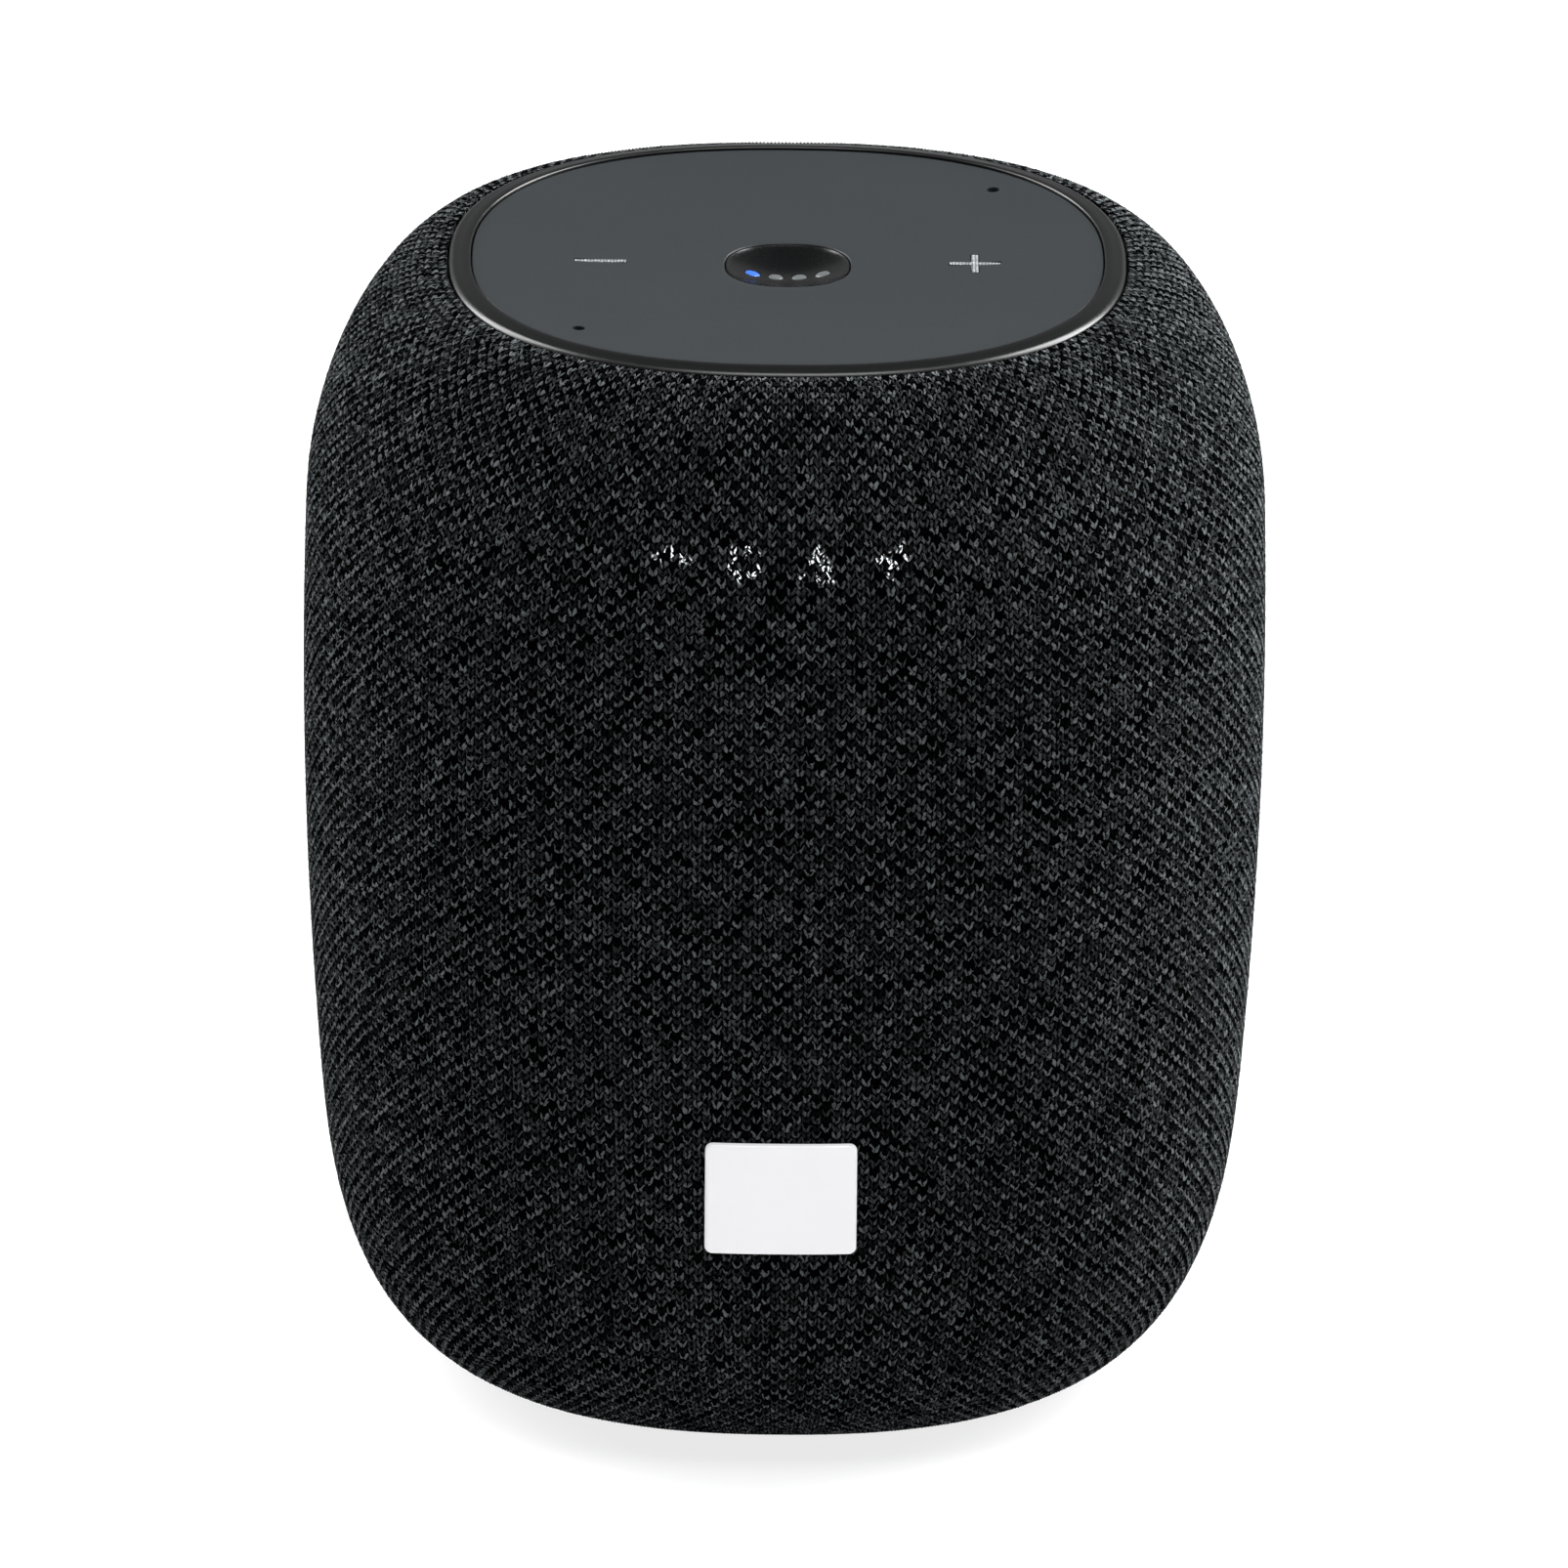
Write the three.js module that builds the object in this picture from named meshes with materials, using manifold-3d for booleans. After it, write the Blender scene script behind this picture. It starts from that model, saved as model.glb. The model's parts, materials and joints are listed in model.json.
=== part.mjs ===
// Fabric-covered smart speaker hub: a rounded-square barrel with a touch panel on top.
// Millimetres, +Z up, front towards -Y, +X to the right of the front.
// The origin is the middle of the underside of the rubber foot.
import * as THREE from "three";
import { mergeVertices } from "three/addons/utils/BufferGeometryUtils.js";
import Module from "manifold-3d";

const wasm = await Module();
wasm.setup();

// ---------------------------------------------------------------- driving dimensions

const HEIGHT = 134; // foot to the crest of the bezel
const BODY_HALF = 56; // half of the greatest width, the same in X and Y
const SQUARENESS = 2.35; // superellipse exponent of every rounded-square outline: 2 is a circle
const SMOOTH = 40; // sides of a rounded-square outline that shows
const PLAIN = 28; // sides of a rounded-square outline inside the body
const COARSE = 20; // sides of a round piece

// Outside of the fabric: a barrel between a bottom curve and a top shoulder
const WIDEST_Z = 85;
const BARREL_CURVE = 0.0008; // half-width lost per square millimetre away from the widest height
const HIP_Z = 36; // top of the bottom curve
const SHOULDER_Z = 105; // start of the top shoulder
const FLOOR_HALF = 24.4; // half-width where the bottom curve would run out flat
const FLOOR_Z = -0.5;
const HIP_POWER = 2.8; // superellipse exponent of the bottom curve
const RIM_HALF = 39.2; // half-width where the shoulder would meet the bezel
const RIM_Z = 133.4;
const SHOULDER_POWER = 1.8; // superellipse exponent of the top shoulder

const SEAM = 0.15; // seam between two trim pieces that meet in sight
const GAP = 0.3; // gap between two pieces that meet out of sight
const FABRIC = 1.2; // thickness of the knitted sleeve
const CAGE = 2; // thickness of the cage under the sleeve
const CAGE_STEPS = 4; // steps of each curve in the cage's outline
const CAGE_WINDOWS = 8; // sound windows in each of the cage's rows
const WINDOW_WIDTH = 28;
const WINDOW_ROWS = [[40, 64], [72, 100]]; // bottom and top of each row

// Rubber foot and base plate
const FOOT_INNER = 29;
const FOOT_OUTER = 35;
const FOOT_TOP = 2;
const BASE_HALF = 37.6;
const BASE_LOW = 1.6;
const BASE_TOP = 4.2;
const SCREW_PLACE = 19; // X and Y of each of the four base screws
const SCREW_HEAD = 2.5;
const SCREW_SHANK = 1.2;
const LEG_RADIUS = 3.8;

// Bezel and touch panel
const BEZEL_OUTER = 39.3;
const BEZEL_INNER = 36.75;
const BEZEL_LOW = 129.5;
const PANEL_HALF = BEZEL_INNER - SEAM;
const PANEL_EDGE_Z = 133.7;
const PANEL_DIP = 1.1; // depth of the panel's shallow hollow
const PANEL_LOW = 131;
const ICON_PLACE = 21.7; // X of the volume marks
const ICON_LENGTH = 5.9;
const ICON_WIDTH = 0.8;
const MIC_PLACE = 24; // X and Y of the microphone holes, on one diagonal
const MIC_HOLE = 0.75;

// Centre button: a dished cap with four light dots
const BUTTON_HALF = 7.2;
const BUTTON_DIP = 1.5;
const BUTTON_TRAVEL = 0.8;
const BUTTON_FLANGE_LOW = 129.8;
const DOT_RADIUS = 0.85;
const DOT_PITCH = 2.7;

// Control board under the panel, and the frame that carries it
const BOARD = 1.2;
const CONTROL_BOARD_Z = 126.4;
const CONTROL_TOP = CONTROL_BOARD_Z + BOARD;
const CARRIER_LOW = 123.4;
const CARRIER_TOP = 126.1;

// Status lights behind the sleeve, and the badge on it
const STATUS_X = -0.6;
const STATUS_Z = 116;
const STATUS_PITCH = 8.45;
const STATUS_SIZE = 3.9;
const STATUS_FRAME_WIDTH = 34;
const STATUS_FRAME_HEIGHT = 7.2;
const BADGE_WIDTH = 17.5;
const BADGE_LOW = 31.1;
const BADGE_TOP = 45.1;
const BADGE_THICK = 0.8;

// Rear port panel, with the mute slider, the pairing button and the power inlet
const PORT_Z = 23.6;
const PORT_WIDTH = 46;
const PORT_HEIGHT = 14;
const PORT_CORNER = 6.8;
const PORT_BACK_Y = 47.2; // inner face of the port panel
const INLET_X = 14.6;
const INLET_HOLE = 3.6;
const INLET_DEPTH = 11;
const INLET_PIN = 1.1;
const MUTE_X = -15;
const MUTE_SLOT = 9;
const MUTE_KNOB = 5.4;
const MUTE_TRAVEL = 3;
const PAIRING_RADIUS = 2.3;
const PAIRING_TRAVEL = 0.6;

// Main board, speaker enclosure, driver and side radiators
const MAIN_BOARD_Z = 15;
const MAIN_BOARD_HALF = 35;
const MAIN_TOP = MAIN_BOARD_Z + 1.6;
const TUB_HALF = 40;
const TUB_WALL = 2.2;
const TUB_LOW = 34;
const TUB_TOP = 87.6;
const LID_LOW = 88.6;
const LID_TOP = 91.4;
const RADIATOR_Z = 60;
const RADIATOR_HOLE = 19;
const RADIATOR_PLATE = 13;
const RADIATOR_FACE = 41; // X of the flat boss that a side radiator is glued to
const BASKET_HALF = 29; // radius of the driver's mounting flange
const DEFLECTOR_RADIUS = 31;
const GAP_RADIUS = 9; // radius of the magnet plate's hole, round the voice coil

// ---------------------------------------------------------------- materials

const paint = (color, roughness, metalness = 0) =>
  new THREE.MeshStandardMaterial({ color, roughness, metalness });

const fabricBlack = paint(0x1b1e1f, 0.95);
const cageBlack = paint(0x141516, 0.7);
const bezelBlack = paint(0x17191a, 0.35);
const panelSlate = paint(0x4a5053, 0.6);
const iconGrey = paint(0xc9cdcf, 0.6);
const buttonBlack = paint(0x1e2122, 0.45);
const dotBlue = paint(0x3b6fd6, 0.4);
const dotGrey = paint(0x9aa1a4, 0.4);
const badgeWhite = paint(0xf2f1f4, 0.35);
const lensWhite = paint(0xf4f7fa, 0.4);
const portBlack = paint(0x101112, 0.5);
const innerGrey = paint(0x3a3d40, 0.6);
const boardGreen = paint(0x1f5a3a, 0.5);
const rubberBlack = paint(0x0e0e0f, 0.9);
const paperCone = paint(0x23262a, 0.8);
const steel = paint(0xa9adb1, 0.35, 1);
const ferrite = paint(0x2c2c30, 0.6, 0.3);
const copper = paint(0xb5682f, 0.4, 1);
const aluminium = paint(0xb9bcc0, 0.4, 1);

// ---------------------------------------------------------------- solids

const hub = new THREE.Group();

// Turn a closed three.js geometry into a solid whose faces point outwards.
function solid(geometry) {
  const bare = geometry.clone();
  bare.deleteAttribute("normal");
  bare.deleteAttribute("uv");
  const merged = mergeVertices(bare, 1e-4);
  const corners = merged.index.array;
  const place = merged.attributes.position.array;
  const faces = [];
  let volume = 0;
  for (let i = 0; i < corners.length; i += 3) {
    const [a, b, c] = [corners[i], corners[i + 1], corners[i + 2]];
    if (a === b || b === c || c === a) continue;
    faces.push(a, b, c);
    const [p, q, r] = [a, b, c].map((n) => new THREE.Vector3().fromArray(place, 3 * n));
    volume += p.dot(q.cross(r));
  }
  if (volume < 0) faces.reverse();
  const mesh = new wasm.Mesh({
    numProp: 3,
    vertProperties: new Float32Array(place),
    triVerts: new Uint32Array(faces),
  });
  return new wasm.Manifold(mesh);
}

// Name a solid, colour it and put it in the hub.
function piece(name, shape, material) {
  const { vertProperties, triVerts } = shape.getMesh();
  const geometry = new THREE.BufferGeometry();
  geometry.setAttribute("position", new THREE.BufferAttribute(vertProperties, 3));
  geometry.setIndex(new THREE.BufferAttribute(triVerts, 1));
  const mesh = new THREE.Mesh(geometry, material);
  mesh.name = name;
  hub.add(mesh);
}

function box([lowX, highX], [lowY, highY], [lowZ, highZ]) {
  const shape = new THREE.BoxGeometry(highX - lowX, highY - lowY, highZ - lowZ);
  shape.translate((lowX + highX) / 2, (lowY + highY) / 2, (lowZ + highZ) / 2);
  return solid(shape);
}

// Turn a profile of [radius, z] points about the Z axis.
function turned(profile, sides = COARSE) {
  const points = profile.map(([radius, z]) => new THREE.Vector2(radius, z));
  return solid(new THREE.LatheGeometry(points, sides).rotateX(Math.PI / 2));
}

const tube = (inner, outer, low, high) =>
  turned([[inner, low], [outer, low], [outer, high], [inner, high], [inner, low]]);

// A rod along Z, and the same turned to lie along Y.
function rod(radius, low, high, x = 0, y = 0, sides = COARSE) {
  const shape = new THREE.CylinderGeometry(radius, radius, high - low, sides);
  shape.rotateX(Math.PI / 2).translate(x, y, (low + high) / 2);
  return solid(shape);
}

function rodY(radius, low, high, x, z, sides = COARSE) {
  const shape = new THREE.CylinderGeometry(radius, radius, high - low, sides);
  return solid(shape.translate(x, (low + high) / 2, z));
}

// A turned profile of [radius, x] points laid along the X axis, at height z.
function turnedX(profile, z, sides = COARSE) {
  const points = profile.map(([radius, x]) => new THREE.Vector2(radius, x));
  const shape = new THREE.LatheGeometry(points, sides).rotateZ(-Math.PI / 2);
  return solid(shape.translate(0, 0, z));
}

const plateX = (radius, near, far, z) =>
  turnedX([[0, near], [radius, near], [radius, far], [0, far]], z);

// A profile of [half-width, z] points carried round the rounded-square outline.
function squared(profile, sides = SMOOTH) {
  const points = profile.map(([half, z]) => new THREE.Vector2(half, z));
  const shape = new THREE.LatheGeometry(points, sides).rotateX(Math.PI / 2);
  const place = shape.attributes.position;
  for (let i = 0; i < place.count; i++) {
    const [x, y] = [place.getX(i), place.getY(i)];
    const reach = Math.hypot(x, y);
    if (reach < 1e-6) continue;
    const sum = Math.abs(x / reach) ** SQUARENESS + Math.abs(y / reach) ** SQUARENESS;
    const stretch = sum ** (-1 / SQUARENESS);
    place.setXY(i, x * stretch, y * stretch);
  }
  return solid(shape);
}

function squaredPlate(half, low, high, sides = SMOOTH) {
  return squared([[0, low], [half, low], [half, high], [0, high]], sides);
}

function squaredRing(inner, outer, low, high, sides = SMOOTH) {
  return squared([[inner, low], [outer, low], [outer, high], [inner, high], [inner, low]], sides);
}

// A bar with round corners in X and Z, along Y.
function roundedBar(width, height, corner, [lowY, highY], x, z) {
  const [w, h] = [width / 2, height / 2];
  const outline = new THREE.Shape();
  outline.moveTo(-w + corner, -h);
  outline.absarc(w - corner, -h + corner, corner, -Math.PI / 2, 0);
  outline.absarc(w - corner, h - corner, corner, 0, Math.PI / 2);
  outline.absarc(-w + corner, h - corner, corner, Math.PI / 2, Math.PI);
  outline.absarc(-w + corner, -h + corner, corner, Math.PI, 1.5 * Math.PI);
  return extrudedY(outline, [lowY, highY], x, z);
}

// A flat outline drawn in X and Z, given depth along Y.
function extrudedY(outline, [lowY, highY], x, z) {
  const depth = highY - lowY;
  const shape = new THREE.ExtrudeGeometry(outline, { depth, bevelEnabled: false, curveSegments: 6 });
  return solid(shape.rotateX(Math.PI / 2).translate(x, highY, z));
}

// ---------------------------------------------------------------- outside of the body

const barrelHalf = (z) => BODY_HALF - BARREL_CURVE * (z - WIDEST_Z) ** 2;

// A quarter superellipse from the barrel at z to (endHalf, endZ). It leans with the barrel's
// slope at z, so that the outline has no corner there.
function quarter(z, endHalf, endZ, power, steps) {
  const slope = -2 * BARREL_CURVE * (z - WIDEST_Z);
  const straightHalf = (level) => barrelHalf(z) + slope * (level - z);
  const turnedIn = straightHalf(endZ) - endHalf;
  const points = [];
  for (let i = 1; i <= steps; i++) {
    const turn = (i / steps) * (Math.PI / 2);
    const across = Math.max(Math.cos(turn), 0) ** (2 / power);
    const level = z + (endZ - z) * Math.sin(turn) ** (2 / power);
    points.push([straightHalf(level) - turnedIn * (1 - across), level]);
  }
  return points;
}

// [half-width, z] points of the fabric's outside, from the floor up to the rim.
function bodyOutline(steps = 7) {
  const bottom = quarter(HIP_Z, FLOOR_HALF, FLOOR_Z, HIP_POWER, steps);
  const top = quarter(SHOULDER_Z, RIM_HALF, RIM_Z, SHOULDER_POWER, steps);
  const barrel = [];
  for (let i = 0; i <= 3; i++) {
    const z = HIP_Z + ((SHOULDER_Z - HIP_Z) * i) / 3;
    barrel.push([barrelHalf(z), z]);
  }
  return [...bottom.reverse(), ...barrel, ...top];
}

// The same outline moved inwards.
function insetOutline(inset, steps) {
  const outline = bodyOutline(steps);
  return outline.map(([half, z], i) => {
    const before = outline[Math.max(i - 1, 0)];
    const after = outline[Math.min(i + 1, outline.length - 1)];
    const [run, rise] = [after[0] - before[0], after[1] - before[1]];
    const length = Math.hypot(run, rise);
    return [half - (inset * rise) / length, z + (inset * run) / length];
  });
}

const [HALF, LEVEL] = [0, 1]; // the two coordinates of a profile point

// Drop the start of a line of profile points, up to where one coordinate passes a value.
function cutStart(points, coordinate, value) {
  const side = Math.sign(points[0][coordinate] - value);
  const next = points.findIndex((point) => Math.sign(point[coordinate] - value) !== side);
  const [from, to] = [points[next - 1], points[next]];
  const part = (value - from[coordinate]) / (to[coordinate] - from[coordinate]);
  const start = [from[0] + (to[0] - from[0]) * part, from[1] + (to[1] - from[1]) * part];
  const isClose = Math.hypot(to[0] - start[0], to[1] - start[1]) < 0.3;
  return [start, ...points.slice(isClose ? next + 1 : next)];
}

// Cut both ends of an outline, each at a value of the same coordinate.
function cutEnds(points, coordinate, low, high) {
  const fromLow = cutStart(points, coordinate, low);
  return cutStart(fromLow.reverse(), coordinate, high).reverse();
}

// Half-width of the fabric's outside at one height.
const bodyHalf = (z) => cutStart(insetOutline(0), LEVEL, z)[0][HALF];

// The solid body inside an inset outline, between two heights.
function bodyCore(inset, low, high) {
  return squared([[0, low], ...cutEnds(insetOutline(inset), LEVEL, low, high), [0, high]]);
}

const portHole = (grow, deep) =>
  roundedBar(PORT_WIDTH + 2 * grow, PORT_HEIGHT + 2 * grow, PORT_CORNER + grow, deep, 0, PORT_Z);

function makeSleeve() {
  const [lowEdge, highEdge] = [BASE_HALF + GAP, BEZEL_OUTER + SEAM];
  const outside = cutEnds(insetOutline(0), HALF, lowEdge, highEdge);
  const inside = cutEnds(insetOutline(FABRIC), HALF, lowEdge, highEdge);
  const shell = squared([...outside, ...inside.reverse(), outside[0]]);
  piece("fabric_sleeve", shell.subtract(portHole(SEAM, [40, 60])), fabricBlack);
}

// The cage is a ribbed shell with rows of sound windows, and a flange at each end.
function makeCage() {
  const skin = insetOutline(FABRIC + 2 * GAP, CAGE_STEPS);
  const lining = insetOutline(FABRIC + 2 * GAP + CAGE, CAGE_STEPS);
  const [lowEdge, highEdge] = [BASE_HALF + 2 * GAP, BEZEL_OUTER + 2 * GAP];
  const [low, high] = [BASE_TOP + GAP, BEZEL_LOW - GAP];
  const outside = cutEnds(skin, HALF, lowEdge, highEdge);
  const inside = cutEnds(lining, LEVEL, low + CAGE, high - CAGE);
  const topFlange = [[highEdge, high], [BEZEL_INNER, high], [BEZEL_INNER, high - CAGE]];
  const bottomFlange = [[FOOT_INNER + 3, low + CAGE], [FOOT_INNER + 3, low], [lowEdge, low]];
  const loop = [...outside, ...topFlange, ...inside.reverse(), ...bottomFlange, outside[0]];
  let cage = squared(loop, PLAIN);
  for (const [bottom, top] of WINDOW_ROWS) {
    for (let i = 0; i < CAGE_WINDOWS; i++) {
      const angle = 2 * Math.PI * ((i + 0.5) / CAGE_WINDOWS);
      const opening = new THREE.BoxGeometry(40, WINDOW_WIDTH, top - bottom);
      opening.translate(50, 0, (bottom + top) / 2).rotateZ(angle);
      cage = cage.subtract(solid(opening));
    }
  }
  const lightHalf = STATUS_FRAME_HEIGHT / 2 + 2 * GAP;
  const lightWindow = box([-18, 18], [-60, -40], [STATUS_Z - lightHalf, STATUS_Z + lightHalf]);
  cage = cage.subtract(lightWindow).subtract(portHole(2, [38, 60]));
  piece("speaker_cage", cage, cageBlack);
}

function makeBase() {
  const groove = squaredRing(FOOT_INNER - GAP, FOOT_OUTER + GAP, BASE_LOW - 1, FOOT_TOP + GAP, PLAIN);
  let base = squared([
    [0, BASE_LOW],
    [BASE_HALF - 0.8, BASE_LOW],
    [BASE_HALF, BASE_LOW + 0.8],
    [BASE_HALF, BASE_TOP],
    [0, BASE_TOP],
  ], PLAIN).subtract(groove);
  let number = 1;
  for (const x of [-SCREW_PLACE, SCREW_PLACE]) {
    for (const y of [-SCREW_PLACE, SCREW_PLACE]) {
      base = base.subtract(rod(SCREW_HEAD + GAP, BASE_LOW - 1, BASE_LOW + 1.5, x, y, 12));
      base = base.subtract(rod(SCREW_SHANK + GAP, BASE_LOW, BASE_TOP + 1, x, y, 8));
      const head = rod(SCREW_HEAD, BASE_LOW - 0.1, BASE_LOW + 1.2, x, y, 12);
      const slotWide = box([x - 1.5, x + 1.5], [y - 0.3, y + 0.3], [0, BASE_LOW + 0.5]);
      const slotDeep = box([x - 0.3, x + 0.3], [y - 1.5, y + 1.5], [0, BASE_LOW + 0.5]);
      const shank = rod(SCREW_SHANK, BASE_LOW + 1, 14, x, y, 8);
      const screw = head.subtract(slotWide).subtract(slotDeep).add(shank);
      piece(`base_screw_${number}`, screw, steel);
      number += 1;
    }
  }
  piece("base_plate", base, portBlack);
  const foot = squared([
    [FOOT_INNER, 0.5],
    [FOOT_INNER + 0.5, 0],
    [FOOT_OUTER - 0.5, 0],
    [FOOT_OUTER, 0.5],
    [FOOT_OUTER, FOOT_TOP],
    [FOOT_INNER, FOOT_TOP],
    [FOOT_INNER, 0.5],
  ], PLAIN);
  piece("foot_ring", foot, rubberBlack);
}

// ---------------------------------------------------------------- top

function makeBezel() {
  const rounded = [
    [BEZEL_INNER, PANEL_EDGE_Z],
    [BEZEL_INNER + 0.15, HEIGHT - 0.12],
    [BEZEL_INNER + 0.45, HEIGHT],
    [BEZEL_INNER + 1, HEIGHT - 0.05],
    [BEZEL_OUTER - 0.5, HEIGHT - 0.4],
    [BEZEL_OUTER - 0.12, HEIGHT - 0.65],
    [BEZEL_OUTER, HEIGHT - 1],
  ];
  const wall = [[BEZEL_OUTER, BEZEL_LOW], [BEZEL_INNER, BEZEL_LOW], [BEZEL_INNER, PANEL_EDGE_Z]];
  piece("top_bezel", squared([...rounded, ...wall]), bezelBlack);
}

// Height of the panel's shallow hollow at a distance from its middle.
const panelZ = (reach) => PANEL_EDGE_Z - PANEL_DIP * (1 - (reach / PANEL_HALF) ** 2);

const volumeBar = (length, width, grow, low, high, x) =>
  box(
    [x - length / 2 - grow, x + length / 2 + grow],
    [-width / 2 - grow, width / 2 + grow],
    [low, high]
  );

function volumeMark(x, isPlus, grow, low, high) {
  const bar = volumeBar(ICON_LENGTH, ICON_WIDTH, grow, low, high, x);
  if (!isPlus) return bar;
  return bar.add(volumeBar(ICON_WIDTH, ICON_LENGTH, grow, low, high, x));
}

function makePanel() {
  const top = [];
  for (const reach of [36.3, 27, 18]) top.push([reach, panelZ(reach)]);
  let panel = squared([
    [0, PANEL_LOW],
    [PANEL_HALF, PANEL_LOW],
    [PANEL_HALF, PANEL_EDGE_Z - 0.15],
    ...top,
    [0, panelZ(0)],
  ]);
  panel = panel.subtract(squaredPlate(BUTTON_HALF + SEAM, 129, HEIGHT, PLAIN));
  for (const side of [-1, 1]) {
    const hole = rod(MIC_HOLE, PANEL_LOW - 1, HEIGHT, side * MIC_PLACE, side * MIC_PLACE, 12);
    const mark = volumeMark(side * ICON_PLACE, side > 0, 0.1, PANEL_LOW - 1, HEIGHT);
    panel = panel.subtract(hole).subtract(mark);
  }
  piece("top_panel", panel, panelSlate);
  const markTop = panelZ(ICON_PLACE);
  piece("volume_down_mark", volumeMark(-ICON_PLACE, false, 0, PANEL_LOW, markTop), iconGrey);
  piece("volume_up_mark", volumeMark(ICON_PLACE, true, 0, PANEL_LOW, markTop), iconGrey);
}

function makeButton() {
  const rimZ = panelZ(BUTTON_HALF) - 0.1;
  const bowl = [];
  const dishZ = (reach) => rimZ - BUTTON_DIP * (1 - (reach / BUTTON_HALF) ** 2);
  for (const reach of [BUTTON_HALF - 0.4, 5, 2.5]) bowl.push([reach, dishZ(reach)]);
  let cap = squared(
    [
      [0, BUTTON_FLANGE_LOW],
      [BUTTON_HALF + 1, BUTTON_FLANGE_LOW],
      [BUTTON_HALF + 1, BUTTON_FLANGE_LOW + 0.8],
      [BUTTON_HALF, BUTTON_FLANGE_LOW + 0.8],
      [BUTTON_HALF, rimZ],
      ...bowl,
      [0, dishZ(0)],
    ],
    PLAIN
  );
  for (let i = 0; i < 4; i++) {
    const x = (i - 1.5) * DOT_PITCH;
    cap = cap.subtract(rod(DOT_RADIUS + 0.1, BUTTON_FLANGE_LOW - 1, HEIGHT, x, 0, 16));
    const dot = rod(DOT_RADIUS, BUTTON_FLANGE_LOW + 0.1, dishZ(x) + 0.05, x, 0, 16);
    piece(`button_dot_${i + 1}`, dot, i === 0 ? dotBlue : dotGrey);
  }
  piece("centre_button", cap, buttonBlack);
}

function makeControls() {
  const cableSlot = box([-10.4, -2.8], [32.6, 34.6], [CARRIER_LOW - 1, CARRIER_TOP + 1]);
  const carrier = squaredPlate(40, CARRIER_LOW, CARRIER_TOP, PLAIN).subtract(cableSlot);
  piece("top_carrier", carrier, innerGrey);
  piece("control_board", squaredPlate(35, CONTROL_BOARD_Z, CONTROL_TOP, PLAIN), boardGreen);
  const low = CONTROL_TOP + GAP;
  const pressed = BUTTON_FLANGE_LOW - BUTTON_TRAVEL - 0.2;
  piece("button_switch", box([-3, 3], [-7, -1.5], [low, pressed]), steel);
  piece("light_bar", box([-6, 6], [-1.2, 1.2], [low, low + 0.8]), lensWhite);
  for (const [name, side] of [["left", -1], ["right", 1]]) {
    const x = side * ICON_PLACE;
    const pad = box([x - 4, x + 4], [-4, 4], [low, PANEL_LOW - GAP]);
    piece(`touch_pad_${name}`, pad, rubberBlack);
  }
  for (const [name, side] of [["front", -1], ["rear", 1]]) {
    const place = side * MIC_PLACE;
    const sleeve = rod(2.4, low, PANEL_LOW - GAP, place, place, 16);
    const bore = rod(MIC_HOLE, low + 1, PANEL_LOW, place, place, 12);
    piece(`microphone_${name}`, sleeve.subtract(bore), rubberBlack);
  }
}

// ---------------------------------------------------------------- front lights and badge

// Four plain signs: an arc, a ring, a triangle and a zigzag.
function statusOutlines() {
  const r = STATUS_SIZE / 2;
  const arc = new THREE.Shape();
  arc.absarc(0, -r * 0.6, r * 1.3, Math.PI * 0.2, Math.PI * 0.8);
  arc.absarc(0, -r * 0.6, r * 0.8, Math.PI * 0.8, Math.PI * 0.2, true);
  const ring = new THREE.Shape().absarc(0, 0, r, 0, 2 * Math.PI);
  ring.holes.push(new THREE.Path().absarc(0, 0, r * 0.55, 0, 2 * Math.PI, true));
  const drawn = (points) => new THREE.Shape(points.map(([x, z]) => new THREE.Vector2(x, z)));
  const triangle = drawn([[-r, -r], [r, -r], [0, r]]);
  const upper = [[-r, 0], [-r / 2, r], [0, 0.1], [r / 2, r], [r, 0]];
  const lower = [[r / 2, -0.4], [0, -r], [-r / 2, -0.4]];
  return [arc, ring, triangle, drawn([...upper, ...lower])];
}

function makeStatusLights() {
  const front = -(bodyHalf(STATUS_Z + 3) - FABRIC - 1.6);
  const back = front + 4.5;
  const [left, right] = [STATUS_X - STATUS_FRAME_WIDTH / 2, STATUS_X + STATUS_FRAME_WIDTH / 2];
  const [low, high] = [STATUS_Z - STATUS_FRAME_HEIGHT / 2, STATUS_Z + STATUS_FRAME_HEIGHT / 2];
  let frame = box([left, right], [front + 1, back], [low, high]);
  statusOutlines().forEach((outline, i) => {
    const x = STATUS_X + (i - 1.5) * STATUS_PITCH;
    const lens = extrudedY(outline, [front, back], x, STATUS_Z);
    const well = box([x - 3, x + 3], [front - 1, back + 1], [STATUS_Z - 3, STATUS_Z + 3]);
    frame = frame.subtract(well);
    piece(`status_lens_${i + 1}`, lens, lensWhite);
  });
  piece("status_frame", frame, cageBlack);
  const board = box([left, right], [back + GAP, back + GAP + BOARD], [low, high]);
  piece("status_board", board, boardGreen);
}

function makeBadge() {
  const reach = [-bodyHalf(BADGE_TOP) - 5, -40];
  const height = BADGE_TOP - BADGE_LOW;
  const middle = (BADGE_TOP + BADGE_LOW) / 2;
  const outline = roundedBar(BADGE_WIDTH, height, 0.6, reach, 0, middle);
  const shell = bodyCore(-0.1 - BADGE_THICK, 10, 60).subtract(bodyCore(-0.1, 9.5, 60.5));
  piece("badge", shell.intersect(outline), badgeWhite);
}

// ---------------------------------------------------------------- rear ports

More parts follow.
